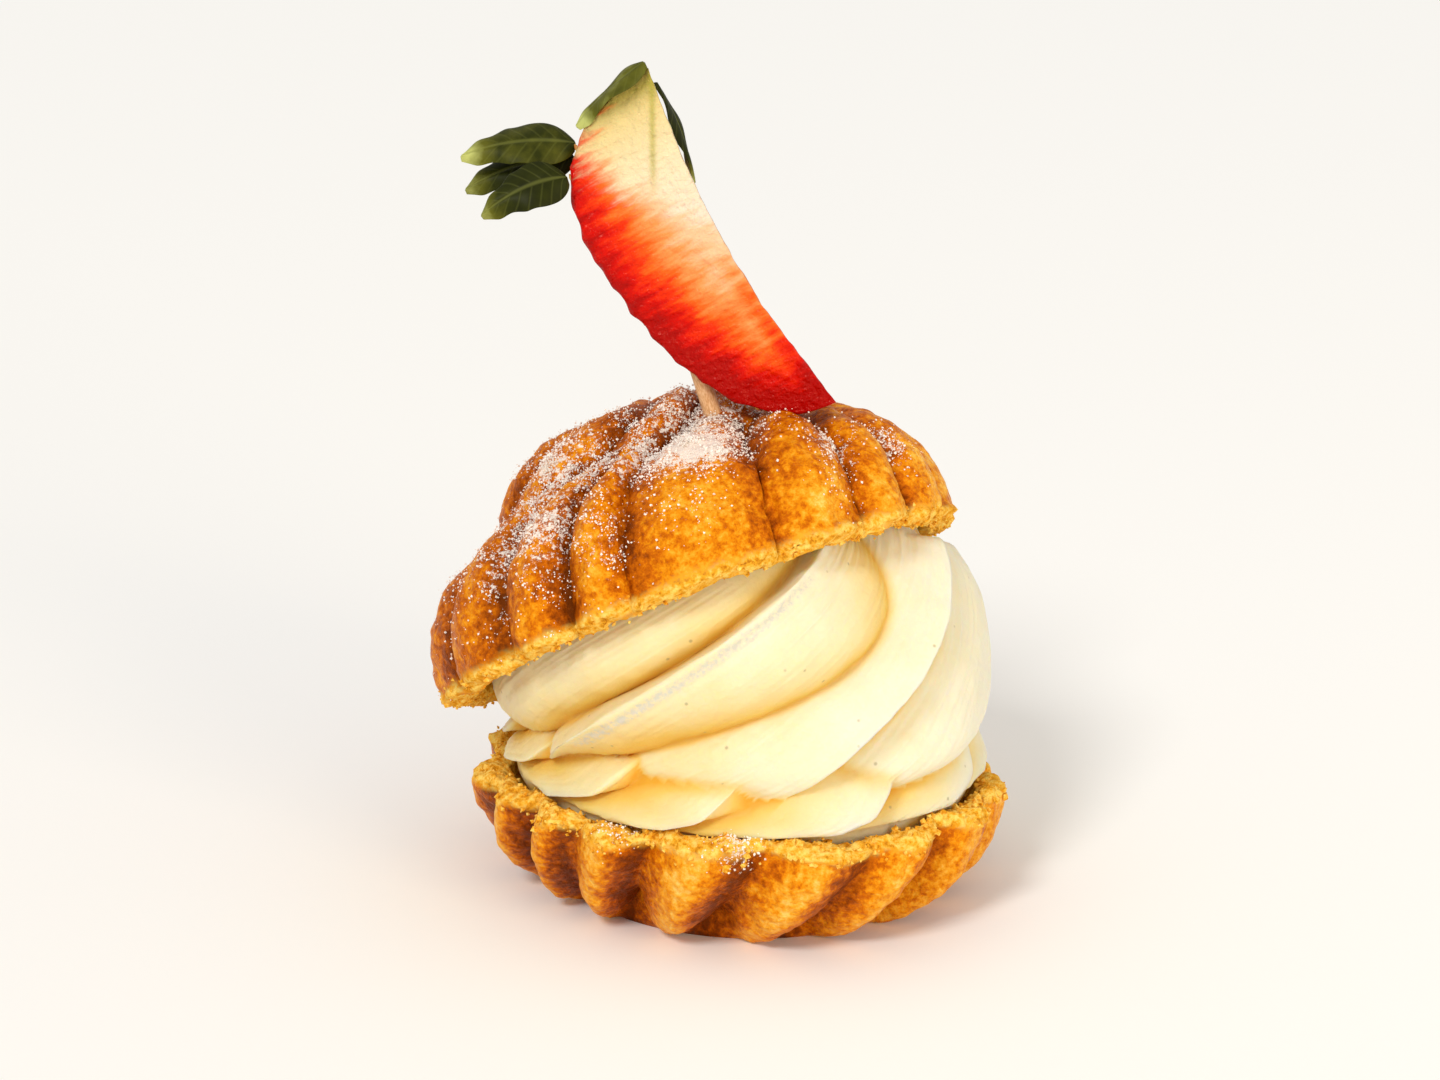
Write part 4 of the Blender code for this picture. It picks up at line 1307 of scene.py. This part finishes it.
def make_cream(whipped):
    """The cream, with a pole at its foot and one at its top."""
    grid, marks = cream_grid()
    ends = farthest(np.array([[0, 0, -1.0], [0, 0, 1.0]]), room_in_bun)
    low = CREAM_CENTRE - [0, 0, ends[0]]
    high = CREAM_CENTRE + [0, 0, min(CREAM_RISE, ends[1])]
    skin("piped_cream", grid, (high, low), whipped, "cream", marks)


# ---------------------------------------------------------------- the topping


def berry_axes():
    """Down the wedge's length, out along its cut face, and away behind that face."""
    along = unit(BERRY_TIP - BERRY_STEM)
    behind = np.array([0.0, 1.0, 0.0])
    return along, np.cross(behind, along), behind


def berry_profile(share):
    """The skin's distance from the berry's axis, from the stem end to the tip.

    Its radius, times a power curve that widens it at the stem and one that closes the tip.
    """
    stem_power, stem_roundness = BERRY_STEM_POWERS
    tip_power, tip_roundness = BERRY_TIP_POWERS
    widening = (1 - (1 - share) ** stem_power) ** stem_roundness
    return BERRY_RADIUS * widening * (1 - share**tip_power) ** tip_roundness


def berry_axis(share):
    """The point of the berry's axis at a share of its length."""
    along, _, _ = berry_axes()
    return BERRY_STEM + along * np.linalg.norm(BERRY_TIP - BERRY_STEM) * share[..., None]


def skin_point(share, turn):
    """A place on the berry's skin, and the way out of the berry there."""
    _, out, behind = berry_axes()
    away = out * np.cos(turn)[..., None] + behind * np.sin(turn)[..., None]
    return berry_axis(share) + away * berry_profile(share)[..., None], away


def three_sides(face, rind, back):
    """The wedge's sides laid next to each other, each edge between them kept once."""
    return np.concatenate([face, rind[:, 1:-1], back[:, :-1]], axis=1)


def berry_grid():
    """Cross-sections of the wedge: out along the cut, round the skin, and back to the core.

    With the grid come numbers for each point: its share of the way to the tip, its depth
    under the skin, its turn round the berry, and 1 where it is skin.
    """
    _, out, _ = berry_axes()
    share = 0.5 - 0.5 * np.cos(np.linspace(0.0, math.pi, BERRY_ROWS)[1:-1])[:, None]
    part = np.linspace(0, 1, BERRY_FACE_STEPS)[None, :]
    turn = np.linspace(0, BERRY_SECTOR, BERRY_SKIN_STEPS)[None, :]
    radius = berry_profile(share)
    axis = berry_axis(share)
    bow = np.minimum(BERRY_BOW * np.sin(math.pi * share), BERRY_BOW_LIMIT * radius)
    core = axis + out * bow[..., None]
    face = core + (axis + out * radius[..., None] - core) * part[..., None]
    rind, _ = skin_point(share, turn)
    back = core + (rind[:, -1:] - core) * (1 - part[..., None])
    grid = three_sides(face, rind, back)
    on_cut, on_skin = 0 * (share + part), 0 * (share + turn)
    inward = three_sides((1 - part) * radius, on_skin, part * radius)
    turned = three_sides(on_cut, on_skin + turn, on_cut + BERRY_SECTOR)
    skinned = three_sides(on_cut, on_skin + 1, on_cut)
    return grid, share + 0 * inward, inward, turned, skinned


def berry_seeds():
    """Seeds' shares and turns: rows along the berry, every other one shifted half a step."""
    shares, turns = [], []
    for row, share in enumerate(np.linspace(*SEED_SHARES, SEED_ROWS)):
        step = SEED_SPACING / max(berry_profile(share), SEED_LEAST_RADIUS)
        for turn in np.arange(SEED_MARGIN + 0.5 * (row % 2) * step, BERRY_SECTOR, step):
            shares.append(share)
            turns.append(turn)
    share_jitter, turn_jitter, seed = SEED_JITTER
    jitter = np.random.default_rng(seed).normal(0, 1, (2, len(shares)))
    return np.array(shares) + share_jitter * jitter[0], np.array(turns) + turn_jitter * jitter[1]


def berry_relief(grid, share, skinned, seeds):
    """Dimples at the seeds with swollen flesh between them, over lumps and a fine grain."""
    apart = np.linalg.norm(grid[:, :, None] - seeds[None, None], axis=-1).min(axis=-1)
    dimples = -DIMPLE_DEPTH * np.exp(-((apart / DIMPLE_REACH) ** 2)) * skinned
    size, height, seed = BERRY_GRAIN
    swell = lumps(grid, BERRY_LUMPS) + height * noise(grid, size, seed)
    relief = dimples + DIMPLE_SWELL * ease(*DIMPLE_RIM, apart) * skinned + swell
    return relief * (ease(0.0, BERRY_CALM, share) * ease(1.0, BERRY_TIP_CALM, share))


def thread_mark(grid):
    """1 on the green thread: a straight line up the cut face, which fades out at its foot."""
    low, high = THREAD_LOW[1], THREAD_HIGH[1]
    middle = np.interp(grid[..., 2], (low, high), (THREAD_LOW[0], THREAD_HIGH[0]))
    beside = np.exp(-(((grid[..., 0] - middle) / THREAD_WIDTH) ** 2))
    fade_from, fade_to = THREAD_FADE
    return THREAD_STRENGTH * beside * ease(low + fade_from, low + fade_to, grid[..., 2])


def make_strawberry(flesh, seed_finish):
    """The wedge with its edges softened and its relief, and the seeds in its dimples."""
    grid, share, inward, turned, skinned = berry_grid()
    for _ in range(BERRY_SMOOTHINGS):
        grid = (np.roll(grid, 1, 1) + 2 * grid + np.roll(grid, -1, 1)) / 4
    normals = skin_normals(grid)
    normals = normals * np.sign((normals * (grid - grid.mean(axis=1, keepdims=True))).sum())
    seeds, ways = skin_point(*berry_seeds())
    grid = grid + normals * berry_relief(grid, share, skinned, seeds)[..., None]
    from_core = np.linalg.norm(grid - grid[:, :1], axis=-1) * (1 - skinned)
    core = ease(*CORE_REACH, from_core) * ease(*CORE_SHARE, share) * (1 - skinned)
    thread = thread_mark(grid) * (1 - skinned) * (turned == 0)
    marks = {"along": share, "inward": inward, "round": turned, "thread": thread, "core": core}
    skin("strawberry_wedge", grid, (BERRY_STEM, BERRY_TIP), flesh, "strawberry", marks)
    make_seeds(seeds - ways * SEED_SINK, ways, seed_finish)


def make_seeds(centres, ways, finish):
    """Seeds as small drops, each with its long way down the berry."""
    lift = np.array(SEED_LIFTS)[:, None] * SEED_ROUND
    ring = np.arange(SEED_SIDES)
    turn = ring * TAU / SEED_SIDES
    wide = np.cos(lift)
    shape = np.stack(np.broadcast_arrays(np.sin(lift), wide * np.cos(turn), wide * np.sin(turn)), -1)
    shape = (shape * SEED_HALF).reshape(-1, 3)
    along, _, _ = berry_axes()
    side = unit(np.cross(along, ways))
    points = centres[:, None] + shape[None] @ np.stack([np.cross(ways, side), side, ways], 1)

    after = (ring + 1) % SEED_SIDES
    faces = [ring[::-1].tolist(), (len(shape) - SEED_SIDES + ring).tolist()]
    for first in range(0, len(shape) - SEED_SIDES, SEED_SIDES):
        above = first + SEED_SIDES
        faces += np.stack([first + ring, first + after, above + after, above + ring], -1).tolist()
    starts = range(0, len(centres) * len(shape), len(shape))
    every = [[start + corner for corner in face] for start in starts for face in faces]
    new_piece("strawberry_seeds", points.reshape(-1, 3), every, finish)


def leaf_grid(leaf):
    """A leaf as a flat tube round a bent path, with a toothed edge and a sunk midrib.

    The path is a curve from the root towards the bend and on to the tip. The half width is a
    sine's arch along it, and the blade waves at its edges and arches across. With the grid
    come each point's share of the length, and its place across from -1 to 1.
    """
    along = np.linspace(0, 1, LEAF_ROWS)[1:-1][:, None, None]
    turn = np.linspace(0, TAU, LEAF_SIDES, endpoint=False)[None, :, None]
    across = np.cos(turn)
    root, bend, tip, normal = (np.array(leaf[key]) for key in ("root", "bend", "tip", "normal"))
    path = (1 - along) ** 2 * root + 2 * along * (1 - along) * bend + along**2 * tip
    side = unit(np.cross(tip - root, normal))
    half = LEAF_LEAST + leaf["width"] * np.sin(math.pi * along**LEAF_BELLY) ** LEAF_FULLNESS
    depth, count, sharpness = LEAF_TEETH
    teeth = np.abs(np.sin(count * math.pi * along)) ** sharpness
    teeth = 1 - depth * ease(*LEAF_TEETH_SHARE, along) * teeth
    wave = LEAF_WAVE * np.sin(LEAF_WAVES * math.pi * along) * across
    wave = wave - LEAF_ARCH * leaf["width"] * across**2
    rib_depth, rib_width = LEAF_RIB
    thick = LEAF_THICKNESS / 2 * np.sin(turn)
    thick = thick * (1 - rib_depth * np.exp(-((across / rib_width) ** 2)))
    grid = path + side * half * teeth * across + unit(normal) * (wave + thick)
    return grid, along[..., 0], across[..., 0]


def make_leaves(green):
    """The five leaves, each with its own tone, and lighter towards its tip."""
    for name, leaf in LEAVES.items():
        grid, along, across = leaf_grid(leaf)
        light = leaf["light"] + LEAF_TIP_LIGHT * ease(*LEAF_TIP, along)
        marks = {"along": along, "across": across, "light": light}
        sepal = name.replace("leaf", "sepal")
        skin(sepal, grid, (leaf["root"], leaf["tip"]), green, name, marks)


def make_stick(wood):
    """A round rod with a cone at either end, and shallow flutes that wind round it."""
    axis = unit(STICK_HEAD - STICK_FOOT)
    length = np.linalg.norm(STICK_HEAD - STICK_FOOT)
    side = unit(np.cross(axis, [0, 1, 0]))
    front = np.cross(axis, side)
    down = np.linspace(length, 0, STICK_ROWS)[1:-1][:, None]
    turn = np.arange(STICK_SIDES)[None, :] * TAU / STICK_SIDES
    radius = STICK_RADIUS * np.clip(np.minimum(down, length - down) / STICK_POINT, STICK_BLUNT, 1)
    waves, winding, height = STICK_WAVES
    radius = radius * (1 + height * np.sin(waves * turn + winding * down))
    circle = np.cos(turn)[..., None] * side + np.sin(turn)[..., None] * front
    grid = STICK_FOOT + axis * down[..., None] + circle * radius[..., None]
    marks = {"along": down, "turn_x": np.cos(turn), "turn_y": np.sin(turn)}
    skin("birch_pick", grid, (STICK_HEAD, STICK_FOOT), wood, "cocktail_stick", marks)


# ---------------------------------------------------------------- the studio


def make_floor():
    """A board that reaches past what the camera sees."""
    mesh = bpy.data.meshes.new("floor")
    corners = [(-FLOOR_REACH, -FLOOR_REACH, 0), (FLOOR_REACH, -FLOOR_REACH, 0)]
    corners += [(-x, -y, 0) for x, y, _ in corners]
    mesh.from_pydata(corners, [], [(0, 1, 2, 3)])
    mesh.materials.append(pale_board())
    floor = bpy.data.objects.new("floor", mesh)
    bpy.context.scene.collection.objects.link(floor)


def placed(obj, right, up, back, place):
    """Links an object, and puts it at a place with its own three axes."""
    bpy.context.scene.collection.objects.link(obj)
    turned = np.eye(4)
    turned[:3] = np.stack([right, up, back, place], -1)
    obj.matrix_world = Matrix(turned.tolist())


def make_lamp(name, kind, place, power, colour, **values):
    """A lamp of a kind, at a place in metres, that shines at the middle of the bun."""
    data = bpy.data.lights.new(name, kind)
    data.energy = power
    data.color = colour
    for setting, value in values.items():
        setattr(data, setting, value)
    back = unit(np.subtract(place, LAMP_TARGET))
    right = unit(np.cross([0.0, 1.0, 0.1], back))
    placed(bpy.data.objects.new(name, data), right, np.cross(back, right), back, place)


def make_studio():
    """White surroundings, a broad high lamp at the front left, and a warm one at the right."""
    world = bpy.data.worlds.new("studio")
    world.use_nodes = True
    background = world.node_tree.nodes["Background"]
    background.inputs["Color"].default_value = SURROUND_COLOUR
    background.inputs["Strength"].default_value = SURROUND_STRENGTH
    bpy.context.scene.world = world
    make_lamp("key", "SUN", KEY_PLACE, KEY_STRENGTH, KEY_COLOUR, angle=KEY_ANGLE)
    make_lamp("side_glow", "AREA", GLOW_PLACE, GLOW_POWER, GLOW_COLOUR, size=GLOW_SIZE)
    bpy.context.scene.view_settings.view_transform = "Standard"


def make_camera():
    """A long lens in front of the bun, looking a little down at it and turned slightly."""
    forward = np.array([0, math.cos(CAMERA_PITCH), -math.sin(CAMERA_PITCH)])
    level_up = np.array([0, math.sin(CAMERA_PITCH), math.cos(CAMERA_PITCH)])
    level_right = np.array([1.0, 0, 0])
    right = math.cos(CAMERA_ROLL) * level_right + math.sin(CAMERA_ROLL) * level_up
    up = math.cos(CAMERA_ROLL) * level_up - math.sin(CAMERA_ROLL) * level_right
    data = bpy.data.cameras.new("camera")
    data.lens = CAMERA_LENS
    data.sensor_width = CAMERA_SENSOR
    data.clip_start = CAMERA_NEAR
    camera = bpy.data.objects.new("camera", data)
    placed(camera, right, up, -forward, CAMERA_PLACE * MM)
    bpy.context.scene.camera = camera


def build():
    """The bun with what lies on it, its cream and its topping."""
    crust = choux_crust()
    cup = make_cup(crust)
    cap = make_cap(crust)
    make_crumbs(cap, cup, crust)
    make_sugar(cap, cup, icing_sugar())
    make_cream(whipped_cream())
    make_strawberry(strawberry_flesh(), strawberry_seed())
    make_leaves(strawberry_leaf())
    make_stick(birch_wood())


make_camera()
make_studio()
make_floor()
build()
